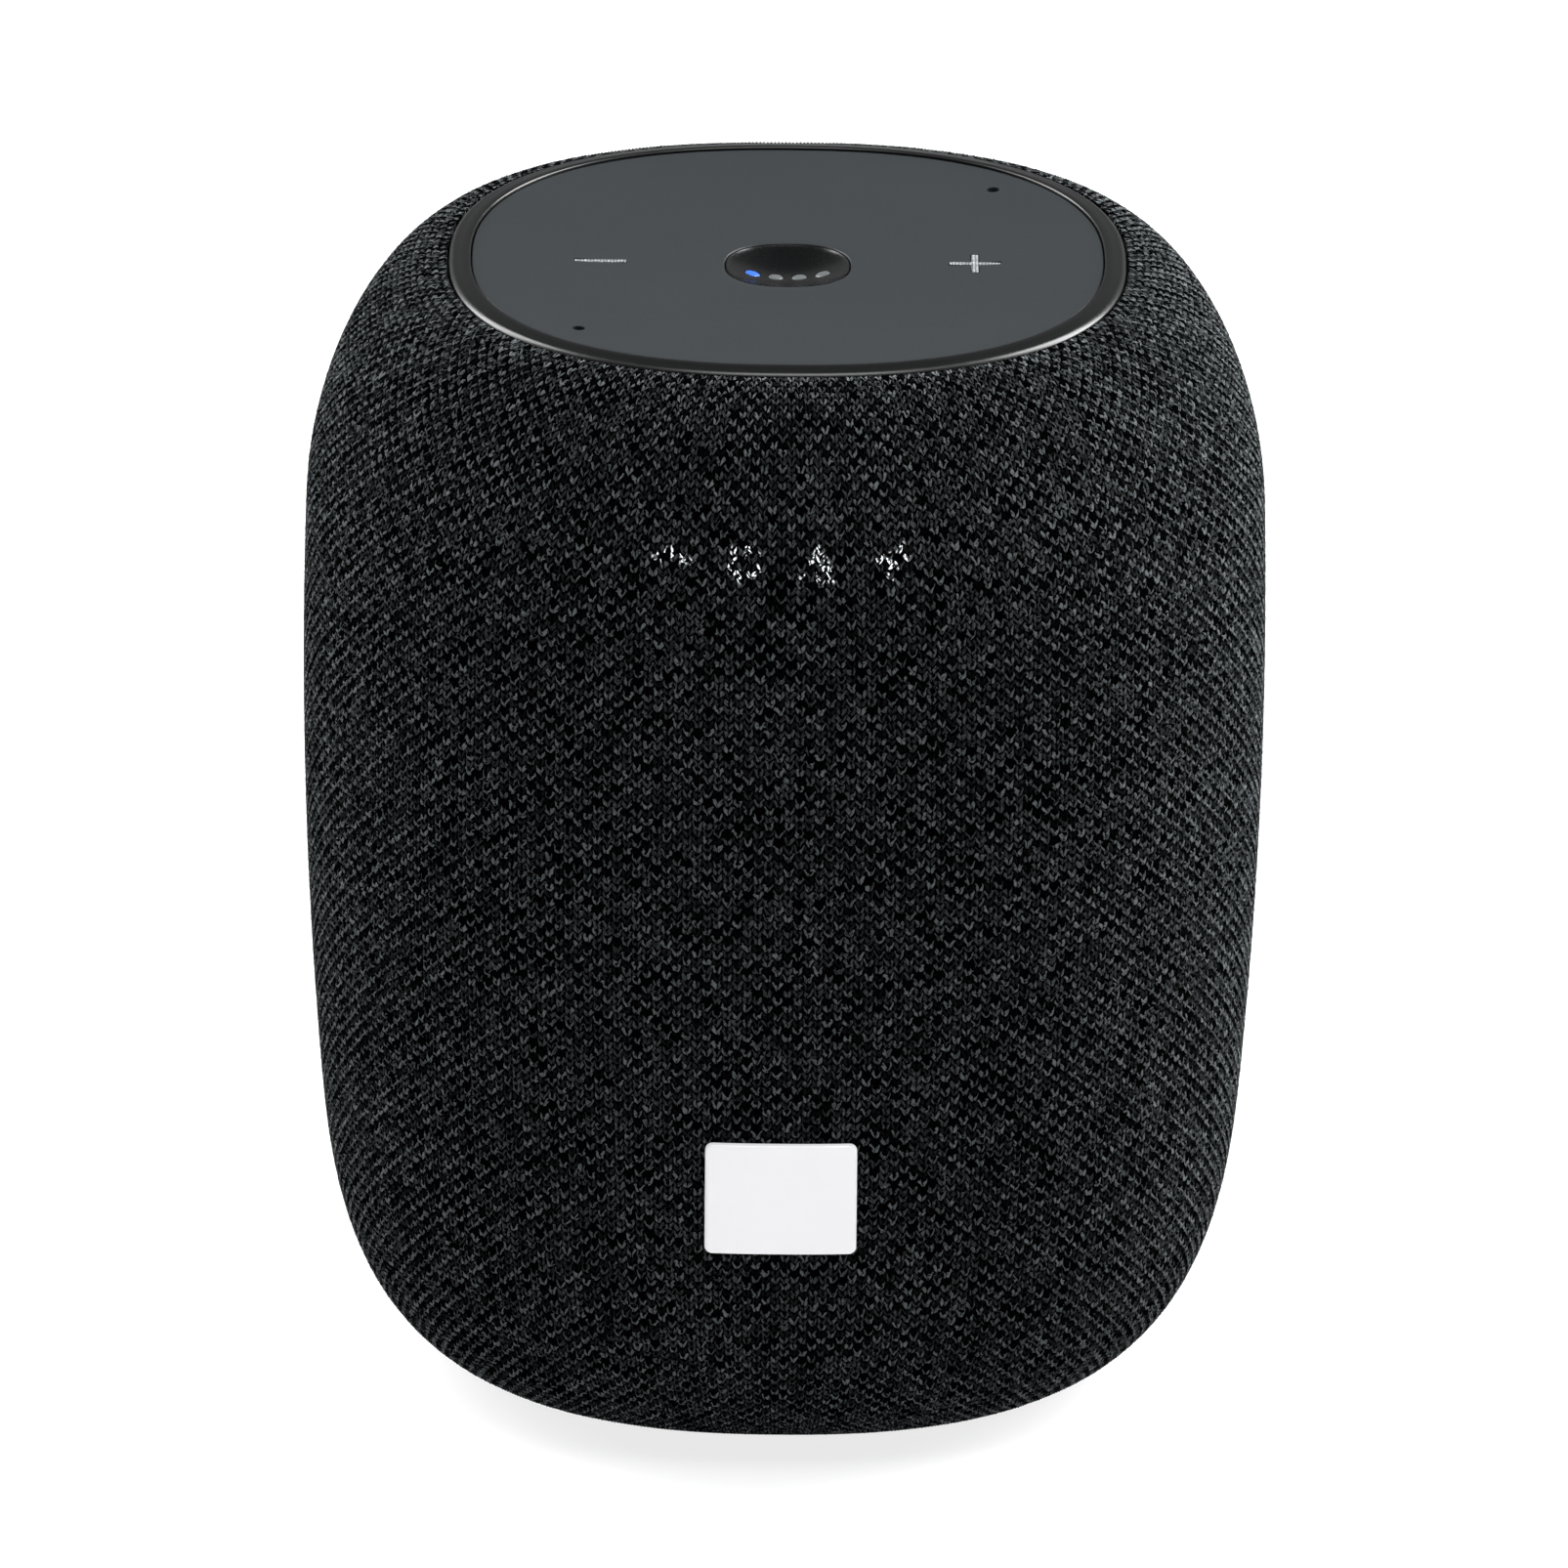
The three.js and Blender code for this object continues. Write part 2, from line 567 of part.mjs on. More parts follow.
function makePorts() {
  const mouth = rodY(INLET_HOLE + 0.9, 40, 60, INLET_X, PORT_Z, 24);
  const pairingHole = rodY(PAIRING_RADIUS + SEAM, 40, 60, 0, PORT_Z, 24);
  const slot = box(
    [MUTE_X - MUTE_SLOT / 2, MUTE_X + MUTE_SLOT / 2],
    [40, 60],
    [PORT_Z - 1.6, PORT_Z + 1.6]
  );
  const plug = portHole(0, [PORT_BACK_Y, 60]).intersect(bodyCore(0, 8, 50));
  piece("port_panel", plug.subtract(mouth).subtract(pairingHole).subtract(slot), portBlack);

  const low = MAIN_TOP + GAP;
  const front = PORT_BACK_Y - GAP;
  const inletBody = box([INLET_X - 4.6, INLET_X + 4.6], [34, front], [low + GAP, PORT_Z + 4.8]);
  const bore = rodY(INLET_HOLE, front - INLET_DEPTH, front + 1, INLET_X, PORT_Z, 24);
  const pin = rodY(INLET_PIN, front - INLET_DEPTH - 0.5, front - 5.5, INLET_X, PORT_Z, 12);
  piece("power_inlet", inletBody.subtract(bore).add(pin), portBlack);

  const knobX = MUTE_X - MUTE_TRAVEL / 2;
  const knobEnds = [knobX - MUTE_KNOB / 2, knobX + MUTE_KNOB / 2];
  const knob = box(knobEnds, [46, 51.4], [PORT_Z - 1.3, PORT_Z + 1.3]);
  const runner = box([knobX - 4.4, knobX + 4.4], [45.8, front], [PORT_Z - 2.6, PORT_Z + 2.6]);
  piece("mute_slider", knob.add(runner), portBlack);
  piece("mute_switch", box([MUTE_X - 5, MUTE_X + 5], [38, 45.5], [low, PORT_Z + 3.4]), steel);

  const press = rodY(PAIRING_RADIUS, 46, 51.5, 0, PORT_Z, 24);
  const flange = rodY(PAIRING_RADIUS + 1, 46, front, 0, PORT_Z, 24);
  piece("pairing_button", press.add(flange), portBlack);
  const switchFront = 46 - PAIRING_TRAVEL - 0.2;
  piece("pairing_switch", box([-3.2, 3.2], [39, switchFront], [low, PORT_Z + 3]), steel);
}

// ---------------------------------------------------------------- main board

function makeMainBoard() {
  const tab = box([-21, 21], [20, 41], [MAIN_BOARD_Z, MAIN_TOP]);
  let board = squaredPlate(MAIN_BOARD_HALF, MAIN_BOARD_Z, MAIN_TOP, PLAIN).add(tab);
  for (const x of [-SCREW_PLACE, SCREW_PLACE]) {
    for (const y of [-SCREW_PLACE, SCREW_PLACE]) {
      board = board.subtract(rod(LEG_RADIUS + GAP, 10, 20, x, y, 12));
    }
  }
  piece("main_board", board, boardGreen);

  const low = MAIN_TOP + GAP;
  let sink = box([-10, 10], [-15, 9], [low, low + 2]);
  for (let i = 0; i < 6; i++) {
    const x = -9.2 + i * 3.68;
    sink = sink.add(box([x - 0.6, x + 0.6], [-15, 9], [low + 1, low + 10]));
  }
  piece("heatsink", sink, aluminium);
  piece("radio_module", box([14, 30], [-9, 9], [low, low + 2.4]), steel);
  piece("capacitor", rod(5, low, low + 14, -22, 0, 20), rubberBlack);
}

// A flat cable from the main board, up behind the enclosure, to the control board.
function makeRibbon() {
  const across = [-9.4, -3.8];
  const thick = 0.4;
  const [footY, riseY, tipY] = [33, 42.6, 33.4];
  const [turnLow, turnHigh] = [20, 121];
  const foot = box(across, [footY, footY + thick], [MAIN_TOP + GAP, turnLow + thick]);
  const out = box(across, [footY, riseY + thick], [turnLow, turnLow + thick]);
  const rise = box(across, [riseY, riseY + thick], [turnLow, turnHigh + thick]);
  const back = box(across, [tipY, riseY + thick], [turnHigh, turnHigh + thick]);
  const tip = box(across, [tipY, tipY + thick], [turnHigh, CONTROL_BOARD_Z - GAP]);
  piece("ribbon_cable", foot.add(out).add(rise).add(back).add(tip), paperCone);
}

// ---------------------------------------------------------------- speaker

function makeEnclosure() {
  const outside = squaredPlate(TUB_HALF, TUB_LOW, TUB_TOP, PLAIN);
  const inside = squaredPlate(TUB_HALF - TUB_WALL, TUB_LOW + TUB_WALL, TUB_TOP + 1, PLAIN);
  let tub = outside;
  for (const side of [-1, 1]) {
    tub = tub.add(plateX(RADIATOR_HOLE + 2.5, side * 34, side * RADIATOR_FACE, RADIATOR_Z));
  }
  tub = tub.subtract(inside);
  for (const side of [-1, 1]) {
    tub = tub.subtract(plateX(RADIATOR_HOLE, side * 30, side * 45, RADIATOR_Z));
  }
  for (const x of [-SCREW_PLACE, SCREW_PLACE]) {
    for (const y of [-SCREW_PLACE, SCREW_PLACE]) {
      tub = tub.add(rod(LEG_RADIUS, BASE_TOP + GAP, TUB_LOW + 1, x, y, 12));
      tub = tub.subtract(rod(SCREW_SHANK + GAP, 2, 15, x, y, 8));
    }
  }
  piece("enclosure_tub", tub, innerGrey);
  const gasket = squaredRing(TUB_HALF - TUB_WALL, TUB_HALF, TUB_TOP + 0.2, LID_LOW - 0.2, PLAIN);
  piece("enclosure_gasket", gasket, rubberBlack);
  const lid = squaredPlate(TUB_HALF + 1, LID_LOW, LID_TOP, PLAIN).subtract(rod(25, 80, 100));
  piece("enclosure_lid", lid, innerGrey);
}

function makeDriver() {
  const rimLow = LID_TOP + GAP;
  const basket = turned([
    [BASKET_HALF, rimLow],
    [BASKET_HALF, rimLow + 1.5],
    [23.6, rimLow + 1.5],
    [22.6, 88],
    [15.5, 80],
    [14.4, 78.6],
    [9.6, 78.6],
    [9.6, 76.9],
    [16, 76.9],
    [24.4, 87],
    [24.4, rimLow],
    [BASKET_HALF, rimLow],
  ]);
  piece("driver_basket", basket, steel);
  piece("magnet_plate", tube(GAP_RADIUS, 17, 73.6, 76.6), steel);
  piece("magnet_ring", tube(GAP_RADIUS + 2, 19, 65.6, 73.3), ferrite);
  const yoke = turned([[0, 62], [18, 62], [18, 65.3], [7, 65.3], [7, 76.6], [0, 76.6]]);
  piece("magnet_yoke", yoke, steel);
  piece("voice_coil", tube(GAP_RADIUS - 1.3, GAP_RADIUS - 0.7, 72.6, 84), copper);
  piece("spider", tube(GAP_RADIUS - GAP, 15.2, 80.4, 80.9), paperCone);
  const cone = [[8.7, 84.2], [19.4, 91.9], [19.4, 92.7], [8.7, 85], [8.7, 84.2]];
  piece("cone", turned(cone), paperCone);
  const dome = [[0, 87.6], [4.5, 86.7], [8, 84.6], [8, 84.3], [4, 85.9], [0, 86.6]];
  piece("dust_cap", turned(dome), paperCone);
  const roll = [[23.3, 92.1], [23.3, 92.7], [22.6, 94.6], [20.6, 94.6], [19.7, 92.7]];
  piece("surround", turned([[19.7, 92.1], ...roll, [19.7, 92.1]]), rubberBlack);
}

function makeRadiators() {
  for (const [name, side] of [["left", -1], ["right", 1]]) {
    const [inner, outer] = [side * (RADIATOR_FACE - 2), side * (RADIATOR_FACE + 1.6)];
    piece(`radiator_plate_${name}`, plateX(RADIATOR_PLATE, inner, outer, RADIATOR_Z), paperCone);
    const flat = side * (RADIATOR_FACE + GAP);
    const top = side * (RADIATOR_FACE + 1.3);
    const roll = side * (RADIATOR_FACE + 3);
    const skirt = [
      [RADIATOR_PLATE + GAP, flat],
      [RADIATOR_HOLE + 2.4, flat],
      [RADIATOR_HOLE + 2.4, top],
      [RADIATOR_HOLE - 0.6, top],
      [RADIATOR_HOLE - 1.8, roll],
      [RADIATOR_PLATE + 1.6, roll],
      [RADIATOR_PLATE + GAP, top],
      [RADIATOR_PLATE + GAP, flat],
    ];
    piece(`radiator_surround_${name}`, turnedX(skirt, RADIATOR_Z), rubberBlack);
  }
}

// The deflector turns the driver's sound out through the cage all round.
function makeDeflector() {
  const back = [[0, CARRIER_LOW - GAP], [DEFLECTOR_RADIUS, CARRIER_LOW - GAP]];
  const horn = [[DEFLECTOR_RADIUS, 121.5], [20, 117], [9, 108], [3, 101], [0, 100]];
  piece("sound_deflector", turned([...back, ...horn]), innerGrey);
}

makeSleeve();
makeCage();
makeBase();
makeBezel();
makePanel();
makeButton();
makeControls();
makeStatusLights();
makeBadge();
makePorts();
makeMainBoard();
makeRibbon();
makeEnclosure();
makeDriver();
makeRadiators();
makeDeflector();

export default hub;
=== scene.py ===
"""Looks of a fabric-covered smart speaker hub, built round its CAD frame.

Sizes are millimetres, turned into metres where a mesh or light is made.
The origin is the middle of the foot's underside, the front faces -Y.
"""
import json
import math

import bmesh
import bpy
import numpy as np
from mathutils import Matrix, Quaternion, Vector


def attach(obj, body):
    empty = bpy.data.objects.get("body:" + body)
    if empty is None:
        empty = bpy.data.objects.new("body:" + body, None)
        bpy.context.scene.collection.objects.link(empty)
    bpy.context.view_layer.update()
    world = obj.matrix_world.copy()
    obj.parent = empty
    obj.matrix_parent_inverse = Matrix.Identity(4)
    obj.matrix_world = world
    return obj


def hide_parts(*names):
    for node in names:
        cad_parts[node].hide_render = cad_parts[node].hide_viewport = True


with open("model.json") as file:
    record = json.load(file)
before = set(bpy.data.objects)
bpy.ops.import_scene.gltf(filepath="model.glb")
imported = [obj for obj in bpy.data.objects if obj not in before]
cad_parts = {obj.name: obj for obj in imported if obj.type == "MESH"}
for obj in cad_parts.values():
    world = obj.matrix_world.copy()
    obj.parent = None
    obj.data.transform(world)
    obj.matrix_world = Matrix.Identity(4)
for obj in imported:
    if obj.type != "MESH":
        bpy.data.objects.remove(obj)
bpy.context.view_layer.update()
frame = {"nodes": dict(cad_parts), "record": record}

MM = 0.001

# ---------------------------------------------------------------- sizes shared with the CAD

HEIGHT = 134.0
BODY_HALF = 56.0  # half the width at the widest level
SQUARENESS = 2.35  # power of the rounded square seen from above, where 2 is a circle
WIDEST_Z = 85.0
BARREL_CURVE = 0.0008  # the half-width lost for each square millimetre above or below that level
HIP_Z = 36.0  # the barrel turns in below this
SHOULDER_Z = 105.0  # and above this
FLOOR_HALF = 24.4
FLOOR_Z = -0.5
HIP_POWER = 2.8
RIM_HALF = 39.2
RIM_Z = 133.4
SHOULDER_POWER = 1.8
SEAM = 0.15  # gap between two pieces that meet in sight
GAP = 0.3  # gap between two pieces that meet out of sight

BEZEL_OUTER = 39.3
BEZEL_INNER = 36.75
BEZEL_LOW = 129.5
LIP_RADIUS = 0.85  # of the quarter round along the ring's outer edge
LIP_DROP = 1.08  # from the crest down to the middle of that round
PANEL_HALF = BEZEL_INNER - SEAM
PANEL_EDGE_Z = 133.7
PANEL_DIP = 1.1
PANEL_LOW = 131.0
ICON_PLACE = 21.7
ICON_LENGTH = 5.9
ICON_WIDTH = 0.8
MIC_PLACE = 24.0
MIC_HOLE = 0.75

BUTTON_HALF = 7.2
BUTTON_DIP = 1.5
BUTTON_FLANGE_LOW = 129.8
DOT_RADIUS = 0.85
DOT_PITCH = 2.7

STATUS_X = -0.6
STATUS_Z = 116.0
STATUS_PITCH = 8.45
STATUS_SIZE = 3.9

BADGE_WIDTH = 17.5
BADGE_LOW = 31.1
BADGE_TOP = 45.1
BADGE_THICK = 0.8
BADGE_CORNER = 0.9

PORT_Z = 23.6
PORT_WIDTH = 46.0
PORT_HEIGHT = 14.0
PORT_CORNER = 6.8
PORT_BACK_Y = 47.2
INLET_X = 14.6
MOUTH_RADIUS = 4.5
PIN_RADIUS = 1.1
MUTE_X = -15.0
MUTE_SLOT = 9.0  # length of the slot that the knob slides in
MUTE_SLOT_HALF = 1.6  # half its height
PAIRING_RADIUS = 2.3

BASE_HALF = 37.6
BASE_LOW = 1.6
BASE_TOP = 4.2
FOOT_INNER = 29.0
FOOT_OUTER = 35.0
FOOT_TOP = 2.0
SCREW_PLACE = 19.0
SCREW_HEAD = 2.5
SCREW_SHANK = 1.2

# ---------------------------------------------------------------- knit

WALES = 310  # columns of stitches round the sleeve
COURSE = 0.94  # height of one row of stitches
WALE_STEPS = 4  # mesh columns in a stitch: valley, leg, valley, leg
COURSE_STEPS = 2  # mesh rows in a stitch: belly, notch
LEG_HEIGHT = 0.1  # how far a stitch's legs stand off the sleeve's outline
NOTCH_DEPTH = 0.1
VALLEY_DEPTH = 0.2
SCATTER = 0.02  # spread of the stitches' heights
CHEVRON = 0.3  # how far a stitch's outer edge lies above its middle, in courses
HEM = 1.2  # width of the edge that is turned in under the trim
HEM_STEP = 0.2  # how far the upper hem lies inside the sleeve's own edge
HEM_RISE = 0.9  # how far the lower hem climbs as it turns in

TRIM_SIDES = 192  # sides of a rounded-square outline on the trim
FINE_STEPS = 20000  # steps used to measure along that outline

rng = np.random.default_rng(7)


# ---------------------------------------------------------------- outlines

def unit_outline(count, start=0.0):
    """Points at equal steps round a rounded square of half-width 1, anticlockwise from +X."""
    turn = np.linspace(0, 2 * np.pi, FINE_STEPS + 1)
    x, y = np.cos(turn), np.sin(turn)
    stretch = (np.abs(x) ** SQUARENESS + np.abs(y) ** SQUARENESS) ** (-1 / SQUARENESS)
    x, y = x * stretch, y * stretch
    along = np.concatenate([[0], np.cumsum(np.hypot(np.diff(x), np.diff(y)))])
    where = (np.arange(count) + start) % count / count * along[-1]
    return np.stack([np.interp(where, along, x), np.interp(where, along, y)], axis=1)


def barrel_half(z):
    """Half-width of the barrel at a height, between the hip and the shoulder."""
    return BODY_HALF - BARREL_CURVE * (z - WIDEST_Z) ** 2


def quarter(z, end_half, end_z, power, steps):
    """A quarter superellipse from the barrel at z to an end point, leaning with the barrel."""
    slope = -2 * BARREL_CURVE * (z - WIDEST_Z)
    turn = np.arange(1, steps + 1) / steps * (np.pi / 2)
    across = np.clip(np.cos(turn), 0, 1) ** (2 / power)
    level = z + (end_z - z) * np.sin(turn) ** (2 / power)
    turned_in = barrel_half(z) + slope * (end_z - z) - end_half
    half = barrel_half(z) + slope * (level - z) - turned_in * (1 - across)
    return np.stack([half, level], axis=1)


def body_outline(steps=400):
    """(half-width, z) points of the sleeve's outside, from the floor up to the rim."""
    bottom = quarter(HIP_Z, FLOOR_HALF, FLOOR_Z, HIP_POWER, steps)
    top = quarter(SHOULDER_Z, RIM_HALF, RIM_Z, SHOULDER_POWER, steps)
    z = np.linspace(HIP_Z, SHOULDER_Z, steps)
    barrel = np.stack([barrel_half(z), z], axis=1)
    return np.concatenate([bottom[::-1], barrel, top])


OUTLINE = body_outline()


def body_half(z):
    """Half-width of the sleeve's outside at a height."""
    return np.interp(z, OUTLINE[:, 1], OUTLINE[:, 0])


def body_y(x, z):
    """Distance of the sleeve's outside from the middle plane, at x and z."""
    half = body_half(z)
    return (half ** SQUARENESS - np.abs(x) ** SQUARENESS) ** (1 / SQUARENESS)


# ---------------------------------------------------------------- meshes

def finished(name, mesh, material, body="hub", sharp=40):
    """An object of this mesh, smooth up to an angle, in one material, riding on a body."""
    mesh.shade_smooth()
    mesh.set_sharp_from_angle(angle=math.radians(sharp))
    mesh.materials.append(material)
    piece = bpy.data.objects.new(name, mesh)
    bpy.context.scene.collection.objects.link(piece)
    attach(piece, body)
    return piece


def mesh_of(name, points, faces):
    """A mesh of these millimetre points, with its faces turned outwards."""
    mesh = bpy.data.meshes.new(name)
    mesh.from_pydata((np.asarray(points) * MM).tolist(), [], faces)
    work = bmesh.new()
    work.from_mesh(mesh)
    bmesh.ops.remove_doubles(work, verts=work.verts, dist=1e-7)
    bmesh.ops.recalc_face_normals(work, faces=work.faces)
    work.to_mesh(mesh)
    work.free()
    return mesh


def lattice(rows, columns, closed):
    """Faces of a lattice whose columns go all the way round, and whose rows may too."""
    faces = []
    for row in range(rows if closed else rows - 1):
        low, high = row * columns, (row + 1) % rows * columns
        for column in range(columns):
            after = (column + 1) % columns
            faces.append((low + column, low + after, high + after, high + column))
    return faces


def squared(name, profile, sides=TRIM_SIDES, closed=True):
    """A profile of (half-width, z) points carried round the rounded-square outline."""
    ring = unit_outline(sides)
    points = [(half * x, half * y, z) for half, z in profile for x, y in ring]
    return mesh_of(name, points, lattice(len(profile), sides, closed))


def turned(name, profile, place, axis="Z", sides=48):
    """A profile of (radius, along) points turned about an axis through a place."""
    turn = np.arange(sides) * 2 * np.pi / sides
    points = []
    for radius, along in profile:
        for a in turn:
            across, up = radius * math.cos(a), radius * math.sin(a)
            points.append((across, up, along) if axis == "Z" else (across, along, up))
    points = np.array(points) + np.array(place)
    return mesh_of(name, points, lattice(len(profile), sides, False))


def rounded_profile(corners, radius, steps=5):
    """The same closed profile with each corner rounded, as far as its sides allow."""
    corners = np.array(corners, float)
    smooth = []
    for i, corner in enumerate(corners):
        before, after = corners[i - 1] - corner, corners[(i + 1) % len(corners)] - corner
        reach = min(radius, 0.45 * np.linalg.norm(before), 0.45 * np.linalg.norm(after))
        start = corner + before / np.linalg.norm(before) * reach
        end = corner + after / np.linalg.norm(after) * reach
        for t in np.linspace(0, 1, steps):
            smooth.append((1 - t) ** 2 * start + 2 * t * (1 - t) * corner + t ** 2 * end)
    return smooth


def rounded_bar(width, height, corner, steps=10):
    """Points round a bar with round corners, centred on zero."""
    points = []
    for number, (side_x, side_z) in enumerate([(1, 1), (-1, 1), (-1, -1), (1, -1)]):
        middle = (side_x * (width / 2 - corner), side_z * (height / 2 - corner))
        for t in np.linspace(0, math.pi / 2, steps):
            a = number * math.pi / 2 + t
            points.append((middle[0] + corner * math.cos(a), middle[1] + corner * math.sin(a)))
    return np.array(points)


def box_mesh(name, low, high):
    points = [(x, y, z) for x in (low[0], high[0]) for y in (low[1], high[1]) for z in (low[2], high[2])]
    faces = [(0, 1, 3, 2), (4, 6, 7, 5), (0, 4, 5, 1), (2, 3, 7, 6), (0, 2, 6, 4), (1, 5, 7, 3)]
    return mesh_of(name, points, faces)


def cut(mesh, cutters):
    """The mesh with each cutter's volume taken out of it."""
    target = bpy.data.objects.new("cut_target", mesh)
    bpy.context.scene.collection.objects.link(target)
    tools = []
    for cutter in cutters:
        tool = bpy.data.objects.new("cut_tool", cutter)
        bpy.context.scene.collection.objects.link(tool)
        tools.append(tool)
        step = target.modifiers.new("cut", "BOOLEAN")
        step.operation = "DIFFERENCE"
        step.solver = "MANIFOLD"
        step.object = tool
    graph = bpy.context.evaluated_depsgraph_get()
    result = bpy.data.meshes.new_from_object(target.evaluated_get(graph))
    result.materials.clear()
    for done in [target, *tools]:
        bpy.data.objects.remove(done)
    return result


def bevel(piece, width, segments=2, angle=35):
    """Round the edges that are sharper than an angle."""
    step = piece.modifiers.new("bevel", "BEVEL")
    step.width = width * MM
    step.segments = segments
    step.limit_method = "ANGLE"
    step.angle_limit = math.radians(angle)
    step.harden_normals = True


# ---------------------------------------------------------------- materials

class Nodes:
    """Short calls that add nodes to one material and link them."""

    def __init__(self, name, color, roughness, metallic=0.0, specular=0.5):
        self.material = bpy.data.materials.new(name)
        self.material.use_nodes = True
        self.tree = self.material.node_tree
        self.shader = self.tree.nodes["Principled BSDF"]
        self.set("Base Color", (*color, 1.0))
        self.set("Roughness", roughness)
        self.set("Metallic", metallic)
        self.set("Specular IOR Level", specular)

    def set(self, socket, value):
        self.shader.inputs[socket].default_value = value

    def join(self, source, socket):
        self.tree.links.new(source, self.shader.inputs[socket])

    def node(self, kind, *sources, **settings):
        made = self.tree.nodes.new(kind)
        for key, value in settings.items():
            setattr(made, key, value)
        for socket, source in zip(made.inputs, sources):
            if isinstance(source, bpy.types.NodeSocket):
                self.tree.links.new(source, socket)
            elif source is not None:
                socket.default_value = source
        return made

    def math(self, operation, *sources):
        return self.node("ShaderNodeMath", *sources, operation=operation).outputs[0]

    def vector(self, operation, *sources):
        return self.node("ShaderNodeVectorMath", *sources, operation=operation).outputs[0]

    def mix(self, factor, low, high):
        """A colour between two, each a colour or a socket."""
        made = self.node("ShaderNodeMix", data_type="RGBA")
        self.tree.links.new(factor, made.inputs["Factor"])
        for socket, source in ((made.inputs[6], low), (made.inputs[7], high)):
            if isinstance(source, bpy.types.NodeSocket):
                self.tree.links.new(source, socket)
            else:
                socket.default_value = (*source, 1.0)
        return made.outputs[2]

    def place(self):
        return self.node("ShaderNodeTexCoord").outputs["Object"]

    def noise(self, scale, detail=2.0, vector=None):
        """Noise whose scale is in features per metre."""
        made = self.node("ShaderNodeTexNoise")
        self.tree.links.new(vector or self.place(), made.inputs["Vector"])
        made.inputs["Scale"].default_value = scale
        made.inputs["Detail"].default_value = detail
        return made.outputs["Fac"]

    def between(self, factor, low, high):
        """A value that runs from low to high as the factor goes from 0 to 1."""
        made = self.node("ShaderNodeMapRange")
        self.tree.links.new(factor, made.inputs["Value"])
        made.inputs["To Min"].default_value = low
        made.inputs["To Max"].default_value = high
        return made.outputs["Result"]

    def ramp(self, factor, low, high, first=0.3, last=0.7):
        """A colour that runs from low to high."""
        made = self.node("ShaderNodeValToRGB", factor)
        made.color_ramp.elements[0].position = first
        made.color_ramp.elements[1].position = last
        made.color_ramp.elements[0].color = (*low, 1.0)
        made.color_ramp.elements[1].color = (*high, 1.0)
        return made.outputs["Color"]

    def bump(self, height, strength, depth):
        """Bump of this depth in millimetres."""
        made = self.node("ShaderNodeBump")
        made.inputs["Strength"].default_value = strength
        made.inputs["Distance"].default_value = depth * MM
        self.tree.links.new(height, made.inputs["Height"])
        self.join(made.outputs["Normal"], "Normal")


def shaded(color, factor):
    return tuple(c * factor for c in color)


def moulded(name, color, roughness, grain=0.35, depth=0.02, specular=0.5, spread=0.12):
    """Moulded plastic: a fine grain, slightly uneven colour and gloss."""
    made = Nodes(name, color, roughness, specular=specular)
    fine = made.noise(1000 / grain, 3.0)
    wide = made.noise(60, 2.0)
    made.join(made.ramp(wide, shaded(color, 1 - spread), shaded(color, 1 + spread)), "Base Color")
    made.join(made.between(fine, roughness - 0.06, roughness + 0.06), "Roughness")
    made.bump(fine, 0.5, depth)
    return made


def metal(name, color, roughness, brush=8.0):
    """Metal with short brush marks."""
    made = Nodes(name, color, roughness, metallic=1.0)
    stretch = made.node("ShaderNodeMapping", made.place())
    stretch.inputs["Scale"].default_value = (1.0, brush, 1.0)
    marks = made.noise(900, 3.0, stretch.outputs[0])
    made.join(made.between(marks, roughness - 0.1, roughness + 0.15), "Roughness")
    made.join(made.ramp(marks, shaded(color, 0.85), color), "Base Color")
    made.bump(marks, 0.3, 0.01)
    return made


def circuit(name):
    """Green solder mask with tracks and paler pads."""
    made = Nodes(name, (0.01, 0.09, 0.04), 0.35)
    cells = made.node("ShaderNodeTexVoronoi", made.place(), distance="MANHATTAN")
    cells.inputs["Scale"].default_value = 260
    cells.inputs["Randomness"].default_value = 0.6
    tracks = cells.outputs["Distance"]
    made.join(made.ramp(tracks, (0.006, 0.06, 0.028), (0.02, 0.15, 0.06), 0.35, 0.42), "Base Color")
    made.bump(tracks, 0.4, 0.03)
    return made


def paper(name, color):
    """Pressed pulp, as on a speaker cone."""
    made = Nodes(name, color, 0.85, specular=0.25)
    pulp = made.noise(1800, 4.0)
    made.join(made.ramp(pulp, shaded(color, 0.6), shaded(color, 1.6)), "Base Color")
    made.bump(pulp, 0.6, 0.05)
    return made


def glowing(name, color, strength):
    """A light guide: an even surface that gives light, a little stronger in some places than in others."""
    made = Nodes(name, color, 0.35)
    made.set("Emission Color", (*color, 1.0))
    made.join(made.between(made.noise(500, 1.0), strength * 0.85, strength * 1.15), "Emission Strength")
    made.bump(made.noise(4000, 2.0), 0.3, 0.01)
    return made


def dotted_mark(name):
    """Pale printed marks made of fine dots."""
    made = Nodes(name, (0.5, 0.53, 0.54), 0.5)
    cells = made.node("ShaderNodeTexVoronoi", made.place(), distance="EUCLIDEAN")
    cells.inputs["Scale"].default_value = 2600
    cells.inputs["Randomness"].default_value = 0.15
    dots = cells.outputs["Distance"]
    made.join(made.ramp(dots, (0.44, 0.46, 0.465), (0.05, 0.055, 0.057), 0.28, 0.5), "Base Color")
    made.bump(dots, 0.4, 0.02)
    return made


# Painted shade: the gaps between the stitches' legs are coloured darker than the dark yarn itself.
YARN_GAP_SHADE = (0.0003, 0.0004, 0.0004)
YARN_DARK = (0.0009, 0.0010, 0.0011)
YARN_LIGHT = (0.115, 0.125, 0.130)
LEG_WIDTH = 0.46  # of half a stitch


